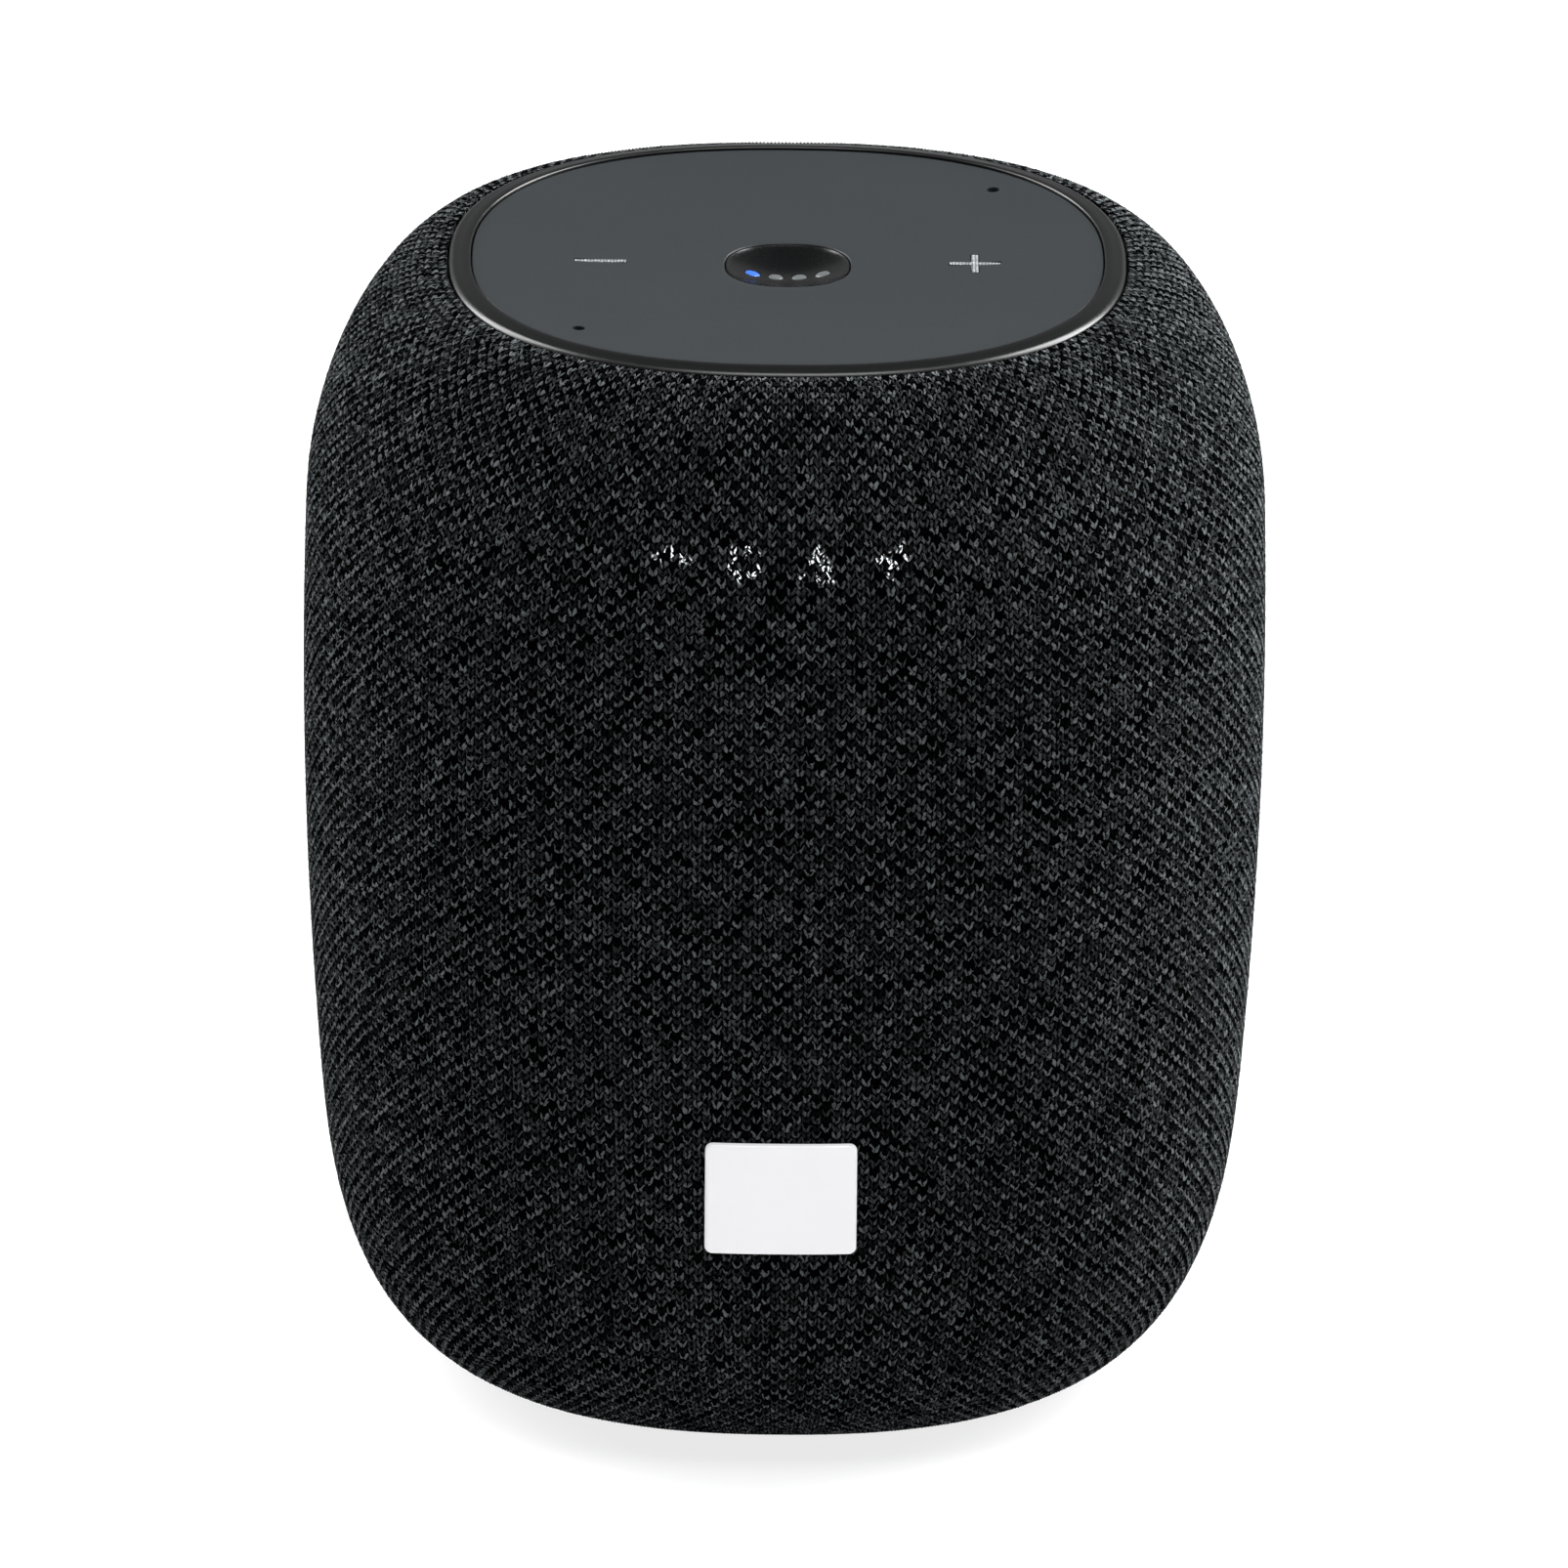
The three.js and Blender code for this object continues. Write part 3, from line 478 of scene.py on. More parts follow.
def knit():
    """Two-tone knit. The stitches attribute counts wales and courses, so each cell is one V."""
    made = Nodes("knit_fabric", YARN_GAP_SHADE, 0.9, specular=0.0)
    grid = made.node("ShaderNodeAttribute", attribute_name="stitches").outputs["Vector"]
    drift = made.node("ShaderNodeTexNoise", grid)
    drift.inputs["Scale"].default_value = 1.7
    drift.inputs["Detail"].default_value = 1.0
    strayed = made.vector("SUBTRACT", drift.outputs["Color"], (0.5, 0.5, 0.5))
    strayed = made.vector("MULTIPLY", strayed, (0.8, 0.8, 0.0))
    split = made.node("ShaderNodeSeparateXYZ", made.vector("ADD", grid, strayed))
    wale, course = split.outputs[0], split.outputs[1]

    # Two slanted legs that meet at the bottom of the cell, each a leaf with its own lean.
    whole_wale, whole_course = made.math("FLOOR", wale), made.math("FLOOR", course)
    side = made.math("SUBTRACT", made.math("FRACT", wale), 0.5)
    across = made.math("MULTIPLY", made.math("ABSOLUTE", side), 2.0)
    up = made.math("FRACT", course)
    half_wale = made.math("FLOOR", made.math("MULTIPLY", wale, 2.0))
    leg_cell = made.node("ShaderNodeCombineXYZ", half_wale, whole_course)
    leg_noise = made.node("ShaderNodeTexWhiteNoise", leg_cell.outputs[0], noise_dimensions="2D")
    leg_chance = leg_noise.outputs["Value"]
    lean = made.node("ShaderNodeSeparateXYZ", leg_noise.outputs["Color"]).outputs[1]
    slope = made.between(lean, 0.25, 0.75)
    start = made.math("SUBTRACT", 0.5, made.math("MULTIPLY", slope, 0.5))
    wobble = made.between(made.noise(3.3, 2.0, grid), -0.2, 0.2)
    middle = made.math("ADD", made.math("MULTIPLY_ADD", up, slope, start), wobble)
    aside = made.math("SUBTRACT", across, middle)
    away = made.math("ABSOLUTE", aside)
    leaf = made.math("POWER", made.math("SINE", made.math("MULTIPLY", up, math.pi)), 0.8)
    width = made.math("MULTIPLY_ADD", leaf, LEG_WIDTH, 0.001)
    edge = made.math("SUBTRACT", 1.0, made.math("DIVIDE", away, width))
    leg = made.math("MINIMUM", made.math("MULTIPLY", made.math("MAXIMUM", edge, 0.0), 1.8), 1.0)

    # Each stitch has its own shade, light and dark by turns, and its legs differ a little.
    cell = made.node("ShaderNodeCombineXYZ", whole_wale, whole_course)
    chance = made.node("ShaderNodeTexWhiteNoise", cell.outputs[0], noise_dimensions="2D").outputs["Value"]
    turn = made.math("PINGPONG", made.math("ADD", whole_wale, whole_course), 1.0)
    light = made.math("MULTIPLY", turn, made.math("MULTIPLY_ADD", chance, 0.55, 0.4))
    other = made.math("SUBTRACT", 1.0, turn)
    dark = made.math("MULTIPLY", other, made.math("MULTIPLY", made.math("POWER", chance, 2.0), 0.35))
    leg_shade = made.math("MULTIPLY_ADD", leg_chance, 0.9, 0.45)
    shade = made.math("MULTIPLY", made.math("ADD", light, dark), leg_shade)

    # Fibres run along each leg.
    beside = made.math("MULTIPLY", aside, 3.5)
    apart = made.math("MULTIPLY", whole_wale, 2.3)
    strand = made.node("ShaderNodeCombineXYZ", beside, course, apart)
    fibre = made.between(made.noise(1.3, 3.0, strand.outputs[0]), -1.3, 3.3)
    bright = made.math("MULTIPLY", made.math("MULTIPLY", leg, shade), made.math("MAXIMUM", fibre, 0.1))

    # Painted shade between the yarns: outside the legs the colour falls to the darker gap colour.
    yarn = made.mix(leg, YARN_GAP_SHADE, YARN_DARK)
    made.join(made.mix(bright, yarn, YARN_LIGHT), "Base Color")

    # Painted light: the knit itself gives light in open pores where a status lens lies behind it, standing
    # in for the lenses' light coming through between the yarns.
    lamp = made.node("ShaderNodeAttribute", attribute_name="lamp").outputs["Fac"]
    openness = made.math("ADD", leg_chance, made.math("MULTIPLY", chance, 0.6))
    open_pore = made.math("GREATER_THAN", openness, 0.78)
    speck = made.math("GREATER_THAN", made.noise(2.6, 1.0, grid), 0.5)
    painted_glow_pores = made.math("MULTIPLY", made.math("MULTIPLY", made.math("POWER", leg, 2.0), speck), open_pore)
    made.set("Emission Color", (0.93, 0.97, 1.0, 1.0))
    made.join(made.math("MULTIPLY", made.math("MULTIPLY", lamp, painted_glow_pores), 1.6), "Emission Strength")
    made.bump(made.math("MULTIPLY", leg, fibre), 0.8, 0.12)
    return made


made_materials = {
    "knit_fabric": knit(),
    "cage_plastic": moulded("cage_plastic", (0.01, 0.01, 0.01), 0.6),
    "bezel_plastic": moulded("bezel_plastic", (0.0012, 0.0013, 0.0014), 0.32, 0.5, 0.002, 0.34),
    "panel_plastic": moulded("panel_plastic", (0.0105, 0.0130, 0.0146), 0.5, 0.22, 0.012, 0.24, 0.04),
    "mark_plastic": dotted_mark("mark_plastic"),
    "inner_plastic": moulded("inner_plastic", (0.05, 0.052, 0.055), 0.55),
    "circuit_board": circuit("circuit_board"),
    "rubber": moulded("rubber", (0.012, 0.012, 0.013), 0.8, 0.5, 0.02, 0.3),
    "steel": metal("steel", (0.5, 0.51, 0.52), 0.35),
    "lens_plastic": glowing("lens_plastic", (0.9, 0.95, 1.0), 1.5),
    "button_plastic": moulded("button_plastic", (0.0009, 0.0010, 0.0011), 0.26, 0.3, 0.0015, 0.32),
    "dot_blue": glowing("dot_blue", (0.016, 0.07, 0.3), 0.6),
    "dot_grey": glowing("dot_grey", (0.06, 0.065, 0.067), 0.3),
    "badge_white": moulded("badge_white", (0.84, 0.835, 0.86), 0.3, 0.4, 0.004, 0.5, 0.01),
    "port_plastic": moulded("port_plastic", (0.010, 0.010, 0.011), 0.5, 0.3, 0.03),
    "slider_plastic": moulded("slider_plastic", (0.022, 0.023, 0.024), 0.4, 0.4, 0.01),
    "aluminium": metal("aluminium", (0.58, 0.59, 0.6), 0.4),
    "ribbon": moulded("ribbon", (0.22, 0.09, 0.02), 0.35),
    "ferrite": moulded("ferrite", (0.03, 0.03, 0.034), 0.5, 0.3, 0.03),
    "copper": metal("copper", (0.6, 0.26, 0.11), 0.3, 20.0),
    "cone_paper": paper("cone_paper", (0.02, 0.022, 0.025)),
    "base_plastic": moulded("base_plastic", (0.012, 0.012, 0.013), 0.55, 0.4, 0.03),
    "foot_rubber": moulded("foot_rubber", (0.011, 0.011, 0.012), 0.85, 0.6, 0.03, 0.25),
}
materials = {name: made.material for name, made in made_materials.items()}

for part in frame["record"]["subparts"]:
    node = frame["nodes"][part["node"]]
    node.data.materials.clear()
    node.data.materials.append(materials[part["material_slot"]])


# ---------------------------------------------------------------- sleeve

def knit_path():
    """Points up the sleeve's outside at each mesh row, with the direction out of the sleeve."""
    inside = (OUTLINE[:, 0] > BASE_HALF + GAP) | (OUTLINE[:, 1] > HIP_Z)
    path = OUTLINE[inside & ((OUTLINE[:, 0] > BEZEL_OUTER + SEAM) | (OUTLINE[:, 1] < HIP_Z))]
    along = np.concatenate([[0], np.cumsum(np.hypot(*np.diff(path, axis=0).T))])
    rows = int(along[-1] / COURSE) * COURSE_STEPS + 1
    where = np.linspace(0, along[-1], rows)
    return path, along, where


def painted_status_glow(x, z):
    """How much of a status lens lies behind each point, which sets where the knit gets painted light: an
    arc, a ring, a triangle and a zigzag.
    """
    r = STATUS_SIZE / 2
    total = np.zeros_like(x)
    for number in range(4):
        # u and w run from -1 to 1 across a sign.
        u = (x - STATUS_X - (number - 1.5) * STATUS_PITCH) / r
        w = (z - STATUS_Z) / r
        reach = np.hypot(u, w)
        if number == 0:
            low_reach = np.hypot(u, w + 0.6)
            shape = (low_reach > 0.75) & (low_reach < 1.35) & (w > -0.15)
        elif number == 1:
            shape = (reach > 0.5) & (reach < 1.05)
        elif number == 2:
            shape = (w > -1.0) & (w < 1.0) & (np.abs(u) < (1.0 - w) / 2 + 0.1)
        else:
            upper = 1.0 - 2 * np.abs(np.abs(u) - 0.5)
            lower = np.where(np.abs(u) < 0.5, 1.6 * np.abs(u) - 1.0, 0.4 * np.abs(u) - 0.4)
            shape = (np.abs(u) < 1.05) & (w < upper + 0.1) & (w > lower - 0.1)
        total = np.maximum(total, shape.astype(float))
    return total


def make_sleeve():
    path, along, where = knit_path()
    rows, columns = len(where), WALES * WALE_STEPS
    ring = unit_outline(columns, start=columns / 4)
    wale_part = np.arange(columns) % WALE_STEPS / WALE_STEPS

    is_leg = (np.arange(columns) % 2 == 1)[None, :]
    is_belly = (np.arange(rows) % COURSE_STEPS == 1)[:, None]
    relief = np.where(is_leg, np.where(is_belly, LEG_HEIGHT, -NOTCH_DEPTH), -VALLEY_DEPTH)
    relief = relief + rng.normal(0, SCATTER, (rows, columns))

    # A stitch's outer edges lie higher than its middle. The hems stay level.
    rise = CHEVRON * COURSE * np.abs(wale_part - 0.5) * 2
    level = np.minimum(1, np.minimum(where, where[-1] - where) / (2 * COURSE))
    reach = where[:, None] + (rise[None, :] - rise.mean()) * level[:, None]
    half = np.interp(reach, along, path[:, 0])
    z = np.interp(reach, along, path[:, 1])
    step = 0.05
    run = np.interp(reach + step, along, path[:, 0]) - np.interp(reach - step, along, path[:, 0])
    climb = np.interp(reach + step, along, path[:, 1]) - np.interp(reach - step, along, path[:, 1])
    length = np.hypot(run, climb)
    relief = relief * level[:, None]
    half = half + relief * climb / length
    z = z - relief * run / length
    points = np.stack([half * ring[None, :, 0], half * ring[None, :, 1], z], axis=2)

    # Hems: both edges turn inwards, under the base plate's rim and the bezel.
    low_scale, high_scale = 1 - HEM / BASE_HALF, 1 - HEM_STEP / BEZEL_OUTER
    low_hem = points[0] * [low_scale, low_scale, 1] + [0, 0, HEM_RISE]
    high_hem = points[-1] * [high_scale, high_scale, 1] - [0, 0, HEM]
    grid = np.concatenate([low_hem[None], points, high_hem[None]])
    total = rows + 2

    flat_points = grid.reshape(-1, 3)
    index = np.arange(total * columns).reshape(total, columns)
    right = np.roll(index, -1, axis=1)
    faces = np.stack([index[:-1], right[:-1], right[1:], index[1:]], axis=2).reshape(-1, 4)
    courses = np.concatenate([[0], where, [where[-1]]]) / (where[-1] / ((rows - 1) / COURSE_STEPS))
    wales = np.arange(columns) / WALE_STEPS
    course_of = np.repeat(courses, columns)
    wale_of = np.tile(wales, total)

    # The port panel's opening: faces inside it go, and its edge is drawn onto the outline.
    centre = flat_points[faces].mean(axis=1)
    core_x, core_z = PORT_WIDTH / 2 - PORT_CORNER, PORT_HEIGHT / 2 - PORT_CORNER

    def port_reach(p):
        """Distance of points from the port's outline, less than zero inside it."""
        dx = np.maximum(np.abs(p[..., 0]) - core_x, 0)
        dz = np.maximum(np.abs(p[..., 2] - PORT_Z) - core_z, 0)
        return np.hypot(dx, dz) - PORT_CORNER - SEAM

    kept = faces[(port_reach(centre) > 0) | (centre[:, 1] < 0)]
    sides = [kept[:, [0, 1]], kept[:, [1, 2]], kept[:, [2, 3]], kept[:, [3, 0]]]
    edges = np.sort(np.concatenate(sides), axis=1)
    unique, uses = np.unique(edges, axis=0, return_counts=True)
    border = unique[uses == 1]
    ends = flat_points[border]
    border = border[(np.abs(port_reach(ends).max(axis=1)) < 2) & (ends[:, 0, 1] > 0)]
    rim = np.unique(border)
    dx = flat_points[rim, 0] - np.clip(flat_points[rim, 0], -core_x, core_x)
    dz = flat_points[rim, 2] - PORT_Z - np.clip(flat_points[rim, 2] - PORT_Z, -core_z, core_z)
    size = np.maximum(np.hypot(dx, dz), 1e-6)
    flat_points[rim, 0] += dx / size * (PORT_CORNER + SEAM) - dx
    flat_points[rim, 2] += dz / size * (PORT_CORNER + SEAM) - dz
    flat_points[rim, 1] = body_y(flat_points[rim, 0], flat_points[rim, 2]) - 0.1
    tucked = flat_points[rim] - [0, HEM, 0]
    order = {vertex: len(flat_points) + n for n, vertex in enumerate(rim)}
    tuck = [(a, b, order[b], order[a]) for a, b in border]
    flat_points = np.concatenate([flat_points, tucked])
    wale_of = np.concatenate([wale_of, wale_of[rim]])
    course_of = np.concatenate([course_of, course_of[rim]])
    all_faces = kept.tolist() + tuck

    used = np.zeros(len(flat_points), bool)
    used[np.unique(np.array(all_faces))] = True
    renumber = np.cumsum(used) - 1
    all_faces = renumber[np.array(all_faces)]
    flat_points, wale_of, course_of = flat_points[used], wale_of[used], course_of[used]

    mesh = bpy.data.meshes.new("knit_sleeve")
    mesh.from_pydata(flat_points * MM, [], all_faces)
    work = bmesh.new()
    work.from_mesh(mesh)
    bmesh.ops.recalc_face_normals(work, faces=work.faces)
    work.to_mesh(mesh)
    work.free()

    # Stitch numbers go on face corners, so that the last wale joins the first.
    corner = np.zeros(len(mesh.loops), int)
    mesh.loops.foreach_get("vertex_index", corner)
    wale_corner = wale_of[corner].reshape(-1, 4)
    wraps = np.ptp(wale_corner, axis=1) > WALES / 2
    wale_corner[wraps] += np.where(wale_corner[wraps] < WALES / 2, WALES, 0)
    stitches = np.stack([wale_corner.ravel(), course_of[corner], np.zeros(len(corner))], axis=1)
    layer = mesh.attributes.new("stitches", "FLOAT_VECTOR", "CORNER")
    layer.data.foreach_set("vector", stitches.ravel().astype(np.float32))
    # Painted light: the knit glows where a status lens lies behind its front.
    lamp = painted_status_glow(flat_points[:, 0], flat_points[:, 2]) * (flat_points[:, 1] < 0)
    layer = mesh.attributes.new("lamp", "FLOAT", "POINT")
    layer.data.foreach_set("value", lamp.astype(np.float32))

    sleeve = finished("knit_sleeve", mesh, materials["knit_fabric"], sharp=180)
    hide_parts("fabric_sleeve")


# ---------------------------------------------------------------- top

def panel_z(reach):
    """Height of the panel's shallow hollow, by how far out a point lies."""
    return PANEL_EDGE_Z - PANEL_DIP * (1 - (reach / PANEL_HALF) ** 2)


def make_bezel():
    """A raised convex band: steep inside, falling away outwards."""
    crest = [
        (BEZEL_INNER, PANEL_EDGE_Z - 0.4),
        (BEZEL_INNER, HEIGHT - 0.2),
        (BEZEL_INNER + 0.05, HEIGHT - 0.07),
        (BEZEL_INNER + 0.16, HEIGHT - 0.015),
        (BEZEL_INNER + 0.4, HEIGHT),
        (BEZEL_INNER + 0.8, HEIGHT - 0.04),
        (BEZEL_INNER + 1.2, HEIGHT - 0.12),
        (BEZEL_INNER + 1.6, HEIGHT - 0.23),
    ]
    for lean in np.linspace(math.radians(15), math.radians(90), 12):
        reach = BEZEL_OUTER - LIP_RADIUS * (1 - math.sin(lean))
        crest.append((reach, HEIGHT - LIP_DROP + LIP_RADIUS * math.cos(lean)))
    wall = [(BEZEL_OUTER, BEZEL_LOW), (BEZEL_INNER, BEZEL_LOW)]
    mesh = squared("bezel_ring", crest + wall)
    ring = finished("bezel_ring", mesh, materials["bezel_plastic"], sharp=60)
    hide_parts("top_bezel")


def make_panel():
    top = [(PANEL_HALF - 0.12, PANEL_EDGE_Z - 0.02)]
    reaches = np.linspace(PANEL_HALF - 0.4, BUTTON_HALF + 0.45, 24)
    top += [(reach, panel_z(reach)) for reach in reaches]
    edge = [(PANEL_HALF, PANEL_LOW), (PANEL_HALF, PANEL_EDGE_Z - 0.14)]
    inner = BUTTON_HALF + SEAM
    hole = [(inner + 0.06, panel_z(inner) - 0.02), (inner, panel_z(inner) - 0.1), (inner, PANEL_LOW)]
    mesh = squared("touch_panel", edge + top + hole)
    cutters = []
    low, long, wide = PANEL_LOW - 1, ICON_LENGTH / 2 + 0.1, ICON_WIDTH / 2 + 0.1
    for side in (-1, 1):
        place = (side * MIC_PLACE, side * MIC_PLACE, 0)
        hole = [(0, low), (MIC_HOLE, low), (MIC_HOLE, HEIGHT + 1), (0, HEIGHT + 1)]
        cutters.append(turned("microphone_cut", hole, place))
        x = side * ICON_PLACE
        cutters.append(box_mesh("mark_cut", (x - long, -wide, low), (x + long, wide, HEIGHT)))
    # The mark on the right is a plus, so it has an upright too.
    x = ICON_PLACE
    cutters.append(box_mesh("mark_cut", (x - wide, -long, low), (x + wide, long, HEIGHT)))
    panel = finished("touch_panel", cut(mesh, cutters), materials["panel_plastic"], sharp=30)
    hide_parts("top_panel")


def make_button():
    rim_z = panel_z(BUTTON_HALF) - 0.06

    def dish_z(reach):
        return rim_z - BUTTON_DIP * (1 - (reach / BUTTON_HALF) ** 2)

    profile = [
        (0, BUTTON_FLANGE_LOW),
        (BUTTON_HALF + 1, BUTTON_FLANGE_LOW),
        (BUTTON_HALF + 1, BUTTON_FLANGE_LOW + 0.8),
        (BUTTON_HALF, BUTTON_FLANGE_LOW + 0.8),
        (BUTTON_HALF, rim_z - 0.2),
        (BUTTON_HALF - 0.06, rim_z - 0.06),
        (BUTTON_HALF - 0.2, rim_z - 0.02),
        (BUTTON_HALF - 0.4, dish_z(BUTTON_HALF - 0.4)),
    ]
    profile += [(reach, dish_z(reach)) for reach in np.linspace(BUTTON_HALF - 0.8, 0, 16)]
    mesh = squared("dished_button", profile, sides=128, closed=False)
    cutters = []
    for number in range(4):
        x = (number - 1.5) * DOT_PITCH
        wide, low = DOT_RADIUS + 0.08, BUTTON_FLANGE_LOW - 1.8
        hole = [(0, low), (wide, low), (wide, HEIGHT), (0, HEIGHT)]
        cutters.append(turned("dot_cut", hole, (x, 0, 0), sides=32))
        top = dish_z(x)
        lens = [
            (0, BUTTON_FLANGE_LOW + 0.1),
            (DOT_RADIUS, BUTTON_FLANGE_LOW + 0.1),
            (DOT_RADIUS, top - 0.06),
            (DOT_RADIUS - 0.1, top + 0.02),
            (DOT_RADIUS - 0.35, top + 0.07),
            (0, top + 0.1),
        ]
        name = "dot_blue" if number == 0 else "dot_grey"
        dot = turned(f"light_dot_{number + 1}", lens, (x, 0, 0), sides=32)
        # The lens's upper face follows the dish.
        for vertex in dot.vertices:
            if vertex.co.z > (top - 0.1) * MM:
                across, along = abs(vertex.co.x), abs(vertex.co.y)
                reach = (across ** SQUARENESS + along ** SQUARENESS) ** (1 / SQUARENESS)
                vertex.co.z += (dish_z(reach / MM) - top) * MM
        dot = finished(f"light_dot_{number + 1}", dot, materials[name], "centre_button")
        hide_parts(f"button_dot_{number + 1}")
    mesh = cut(mesh, cutters)
    button = finished("dished_button", mesh, materials["button_plastic"], "centre_button", 30)
    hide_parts("centre_button")


# ---------------------------------------------------------------- badge and rear panel

def capped_rings(name, outline, rings, place):
    """Rings of an outline, each scaled and set at a depth, joined and closed at both ends.

    rings holds (inset, depth), and place turns x, z and depth into a point.
    """
    points = []
    half_x, half_z = np.abs(outline).max(axis=0)
    for inset, depth in rings:
        scale = ((half_x - inset) / half_x, (half_z - inset) / half_z)
        points += [place(x * scale[0], z * scale[1], depth) for x, z in outline]
    return mesh_of(name, points, lattice(len(rings), len(outline), False))


def dense(outline, spacing=0.6):
    """The same closed outline with points added along its straight sides."""
    points = []
    for start, end in zip(outline, np.roll(outline, -1, axis=0)):
        steps = max(1, int(np.linalg.norm(end - start) / spacing))
        points += [start + (end - start) * n / steps for n in range(steps)]
    return np.array(points)


def make_badge():
    middle = (BADGE_LOW + BADGE_TOP) / 2
    outline = rounded_bar(BADGE_WIDTH, BADGE_TOP - BADGE_LOW, BADGE_CORNER)

    def place(x, z, depth):
        return x, -body_y(x, middle + z) - depth, middle + z

    inner = min(BADGE_WIDTH, BADGE_TOP - BADGE_LOW) / 2
    rings = [(inner, 0.1), (0.0, 0.1), (0.0, BADGE_THICK - 0.15), (0.08, BADGE_THICK)]
    rings += [(inset, BADGE_THICK + 0.1) for inset in (0.25, *np.linspace(0.6, inner, 8))]
    mesh = capped_rings("curved_badge", dense(outline), rings, place)
    badge = finished("curved_badge", mesh, materials["badge_white"], sharp=50)
    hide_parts("badge")


def make_port_panel():
    outline = dense(rounded_bar(PORT_WIDTH, PORT_HEIGHT, PORT_CORNER, 16))

    def place(x, z, depth):
        y = PORT_BACK_Y if depth is None else body_y(x, PORT_Z + z) - depth
        return x, y, PORT_Z + z

    inner = PORT_HEIGHT / 2
    rings = [(inner, None), (0.0, None), (0.0, 0.35), (0.12, 0.1), (0.35, 0.0)]
    rings += [(inset, 0.0) for inset in np.linspace(0.9, inner, 8)]
    mesh = capped_rings("rear_panel", outline, rings, place)
    near, far = 40, 60  # the cutters reach through the panel between these two levels of Y
    cutters = []
    for name, x, radius in (("mouth_cut", INLET_X, MOUTH_RADIUS), ("button_cut", 0, PAIRING_RADIUS + SEAM)):
        hole = [(0, near), (radius, near), (radius, far), (0, far)]
        cutters.append(turned(name, hole, (x, 0, PORT_Z), "Y"))
    low = (MUTE_X - MUTE_SLOT / 2, near, PORT_Z - MUTE_SLOT_HALF)
    high = (MUTE_X + MUTE_SLOT / 2, far, PORT_Z + MUTE_SLOT_HALF)
    cutters.append(box_mesh("slot_cut", low, high))
    panel = finished("rear_panel", cut(mesh, cutters), materials["port_plastic"], sharp=35)
    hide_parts("port_panel")
    # A steel skin over the pin in the inlet, with a rounded tip.
    skin = PIN_RADIUS + 0.04
    tip = [(0, 41.6), (0.6, 41.55), (PIN_RADIUS - 0.1, 41.3), (skin, 40.9), (skin, 36)]
    pin = turned("inlet_contact", tip, (INLET_X, 0, PORT_Z), "Y", 32)
    finished("inlet_contact", pin, materials["steel"])
    for name in ("mute_slider", "pairing_button", "power_inlet"):
        bevel(frame["nodes"][name], 0.25, 3)


# ---------------------------------------------------------------- underside

def make_base():
    corners = [(0.001, BASE_LOW), (FOOT_INNER - GAP, BASE_LOW), (FOOT_INNER - GAP, FOOT_TOP + GAP)]
    corners += [(FOOT_OUTER + GAP, FOOT_TOP + GAP), (FOOT_OUTER + GAP, BASE_LOW)]
    corners += [(BASE_HALF - 0.5, BASE_LOW), (BASE_HALF, BASE_LOW + 0.5)]
    corners += [(BASE_HALF, BASE_TOP), (0.001, BASE_TOP)]
    mesh = squared("base_cover", corners)
    wide, narrow, shelf, past = SCREW_HEAD + GAP, SCREW_SHANK + GAP, BASE_LOW + 1.5, 6
    hole = [(0, 0), (wide, 0), (wide, shelf), (narrow, shelf), (narrow, past), (0, past)]
    cutters = []
    for x in (-SCREW_PLACE, SCREW_PLACE):
        for y in (-SCREW_PLACE, SCREW_PLACE):
            cutters.append(turned("screw_cut", hole, (x, y, 0), sides=40))
    cover = finished("base_cover", cut(mesh, cutters), materials["base_plastic"], sharp=35)
    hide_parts("base_plate")
    ring = [(FOOT_INNER, 0), (FOOT_OUTER, 0), (FOOT_OUTER, FOOT_TOP), (FOOT_INNER, FOOT_TOP)]
    mesh = squared("rubber_foot", rounded_profile(ring, 0.6))
    foot = finished("rubber_foot", mesh, materials["foot_rubber"], sharp=60)
    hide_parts("foot_ring")
    for number in range(1, 5):
        bevel(frame["nodes"][f"base_screw_{number}"], 0.12, 2)


# ---------------------------------------------------------------- stage

CAMERA_DISTANCE = 2.4  # metres
CAMERA_ELEVATION = 0.375  # radians
CAMERA_TURN = 0.0026
CAMERA_ROLL = 0.0088
CAMERA_LENS = 470.7
PIVOT = Vector((0, 0, 66.5 * MM))  # the camera stands this distance from here
AIM = Vector((0.1 * MM, 0, 68.0 * MM))  # and looks at this point
STUDIO_HALF = 25.0  # metres, from the object to each edge of the floor


def make_camera():
    camera = bpy.data.objects.new("camera", bpy.data.cameras.new("camera"))
    bpy.context.scene.collection.objects.link(camera)
    camera.data.sensor_width = 36.0
    camera.data.lens = CAMERA_LENS
    camera.data.clip_end = 20.0
    flat, up = math.cos(CAMERA_ELEVATION), math.sin(CAMERA_ELEVATION)
    back = Vector((-flat * math.sin(CAMERA_TURN), -flat * math.cos(CAMERA_TURN), up))
    camera.location = PIVOT + back * CAMERA_DISTANCE
    ahead = AIM - camera.location
    camera.rotation_mode = "QUATERNION"
    camera.rotation_quaternion = ahead.to_track_quat("-Z", "Y") @ Quaternion((0, 0, 1), CAMERA_ROLL)
    bpy.context.scene.camera = camera


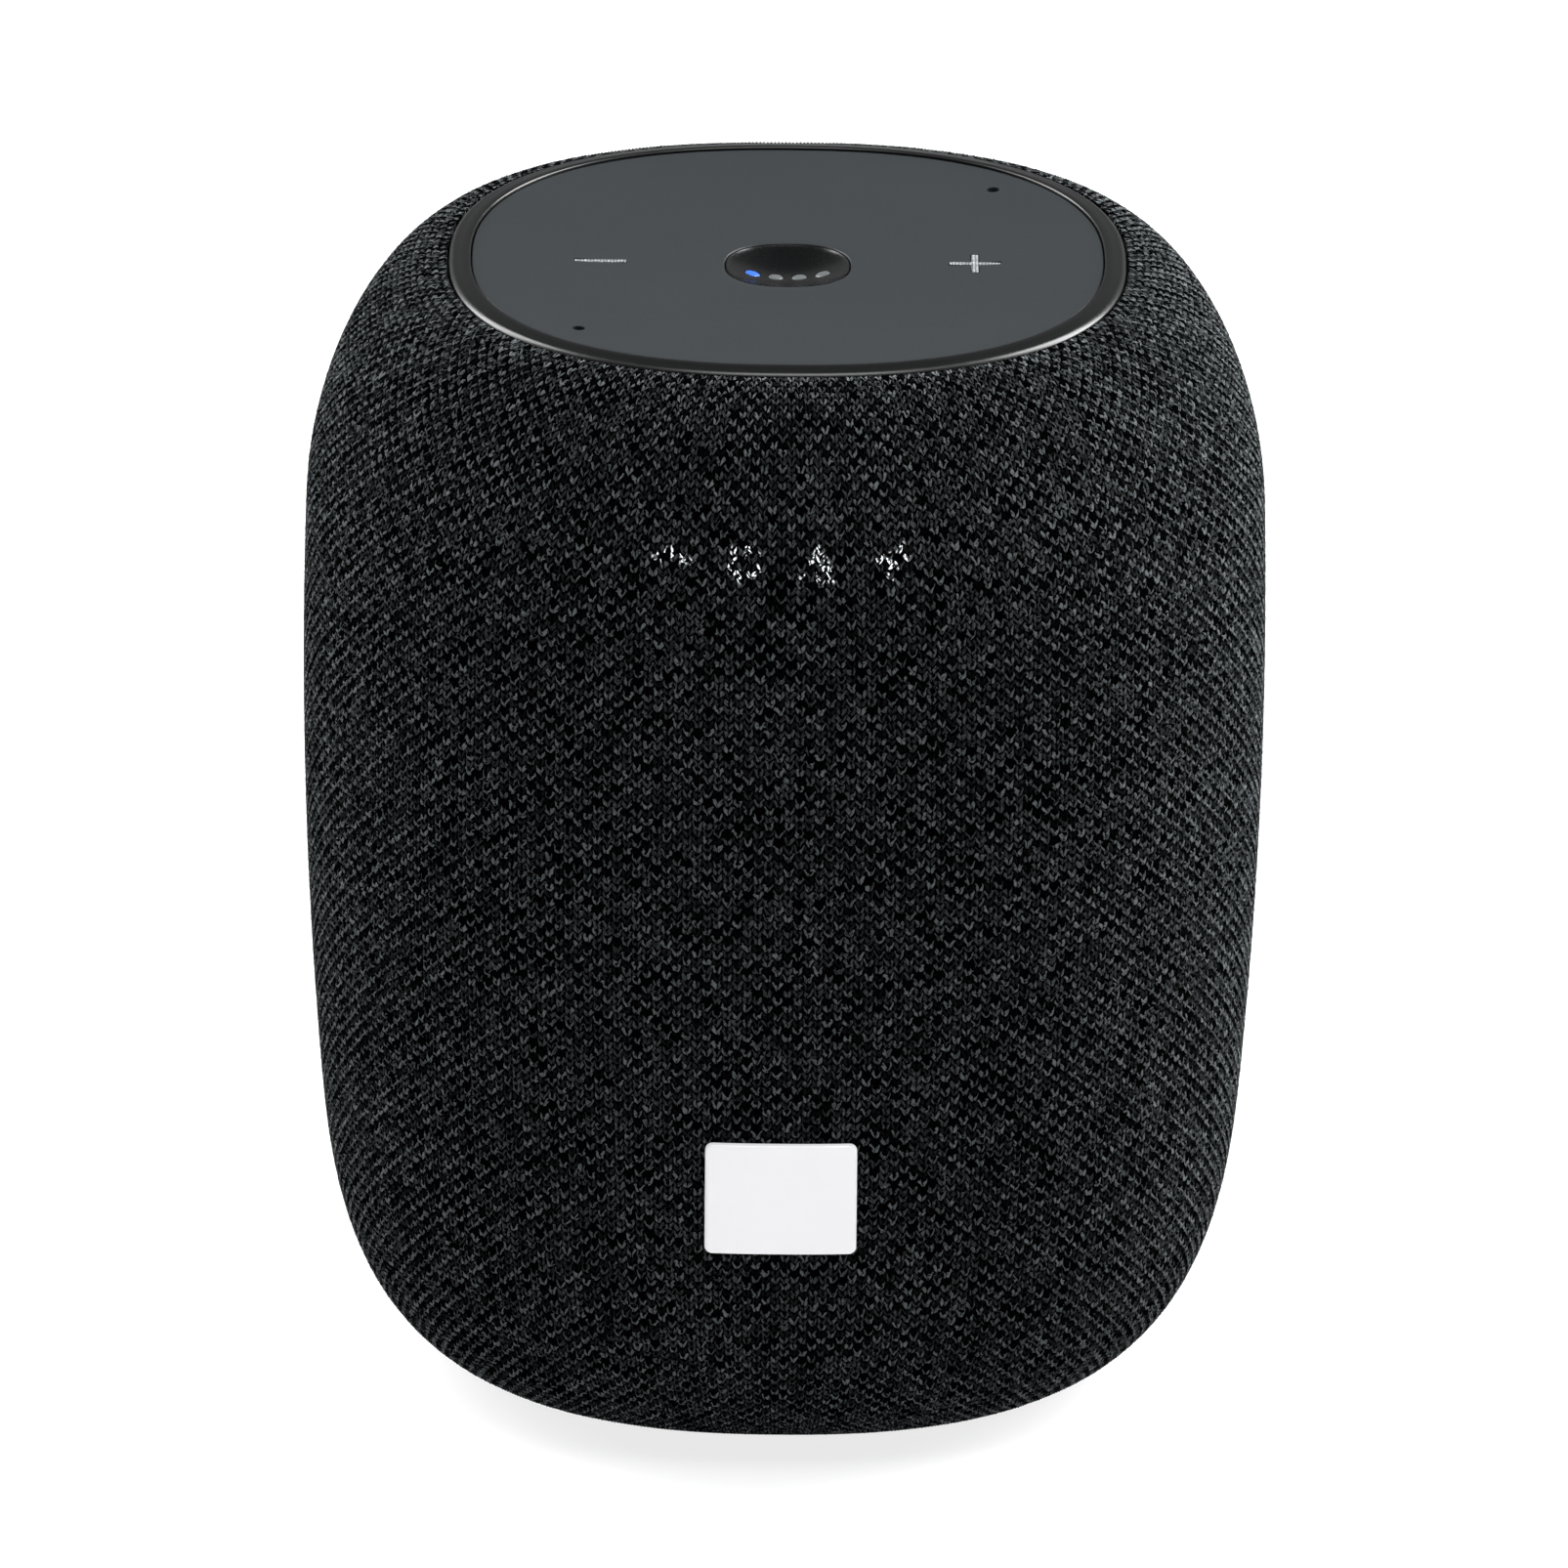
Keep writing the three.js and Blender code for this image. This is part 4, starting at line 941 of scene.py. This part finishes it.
def make_floor():
    mesh = bpy.data.meshes.new("floor")
    half = STUDIO_HALF
    corners = [(-half, -half, 0), (half, -half, 0), (half, half, 0), (-half, half, 0)]
    mesh.from_pydata(corners, [], [(0, 1, 2, 3)])
    floor = bpy.data.objects.new("floor", mesh)
    bpy.context.scene.collection.objects.link(floor)
    pale = moulded("floor_paint", (0.25, 0.25, 0.25), 0.9, 2.0, 0.02, 0.02, 0.005)
    pale.set("Emission Color", (1.0, 1.0, 1.0, 1.0))
    pale.set("Emission Strength", 0.8)
    mesh.materials.append(pale.material)


def area_light(name, place, aim, size, power):
    lamp = bpy.data.lights.new(name, "AREA")
    lamp.shape = "RECTANGLE"
    lamp.size, lamp.size_y = size
    lamp.energy = power
    light = bpy.data.objects.new(name, lamp)
    light.location = place
    light.rotation_mode = "QUATERNION"
    light.rotation_quaternion = (Vector(aim) - Vector(place)).to_track_quat("-Z", "Y")
    bpy.context.scene.collection.objects.link(light)


def make_light():
    world = bpy.data.worlds.new("studio")
    world.use_nodes = True
    nodes, links = world.node_tree.nodes, world.node_tree.links
    faint = nodes["Background"]
    faint.inputs["Color"].default_value = (0.93, 0.97, 1.0, 1.0)
    faint.inputs["Strength"].default_value = 0.08
    # Past the far edge of the floor the sky is as pale as the floor, and lights nothing.
    sky = nodes.new("ShaderNodeBackground")
    sky.inputs["Color"].default_value = (0.8, 0.8, 0.8, 1.0)
    seen_directly = nodes.new("ShaderNodeLightPath").outputs["Is Camera Ray"]
    either = nodes.new("ShaderNodeMixShader")
    links.new(seen_directly, either.inputs[0])
    links.new(faint.outputs[0], either.inputs[1])
    links.new(sky.outputs[0], either.inputs[2])
    links.new(either.outputs[0], nodes["World Output"].inputs["Surface"])
    bpy.context.scene.world = world
    area_light("left_box", (-0.85, 0.48, 0.65), (0, 0, 0.08), (0.6, 1.0), 28)
    area_light("right_box", (0.85, 0.35, 0.65), (0, 0, 0.08), (0.6, 1.0), 42)
    area_light("top_box", (0.08, -0.5, 1.5), (0, 0, 0.08), (0.8, 0.8), 21)
    area_light("back_box", (0, 2.4, 0.85), (0, 0, 0.1), (3.2, 1.0), 1.8)
    bpy.context.scene.view_settings.view_transform = "Standard"


make_camera()
make_floor()
make_light()
make_sleeve()
make_bezel()
make_panel()
make_button()
make_badge()
make_port_panel()
make_base()
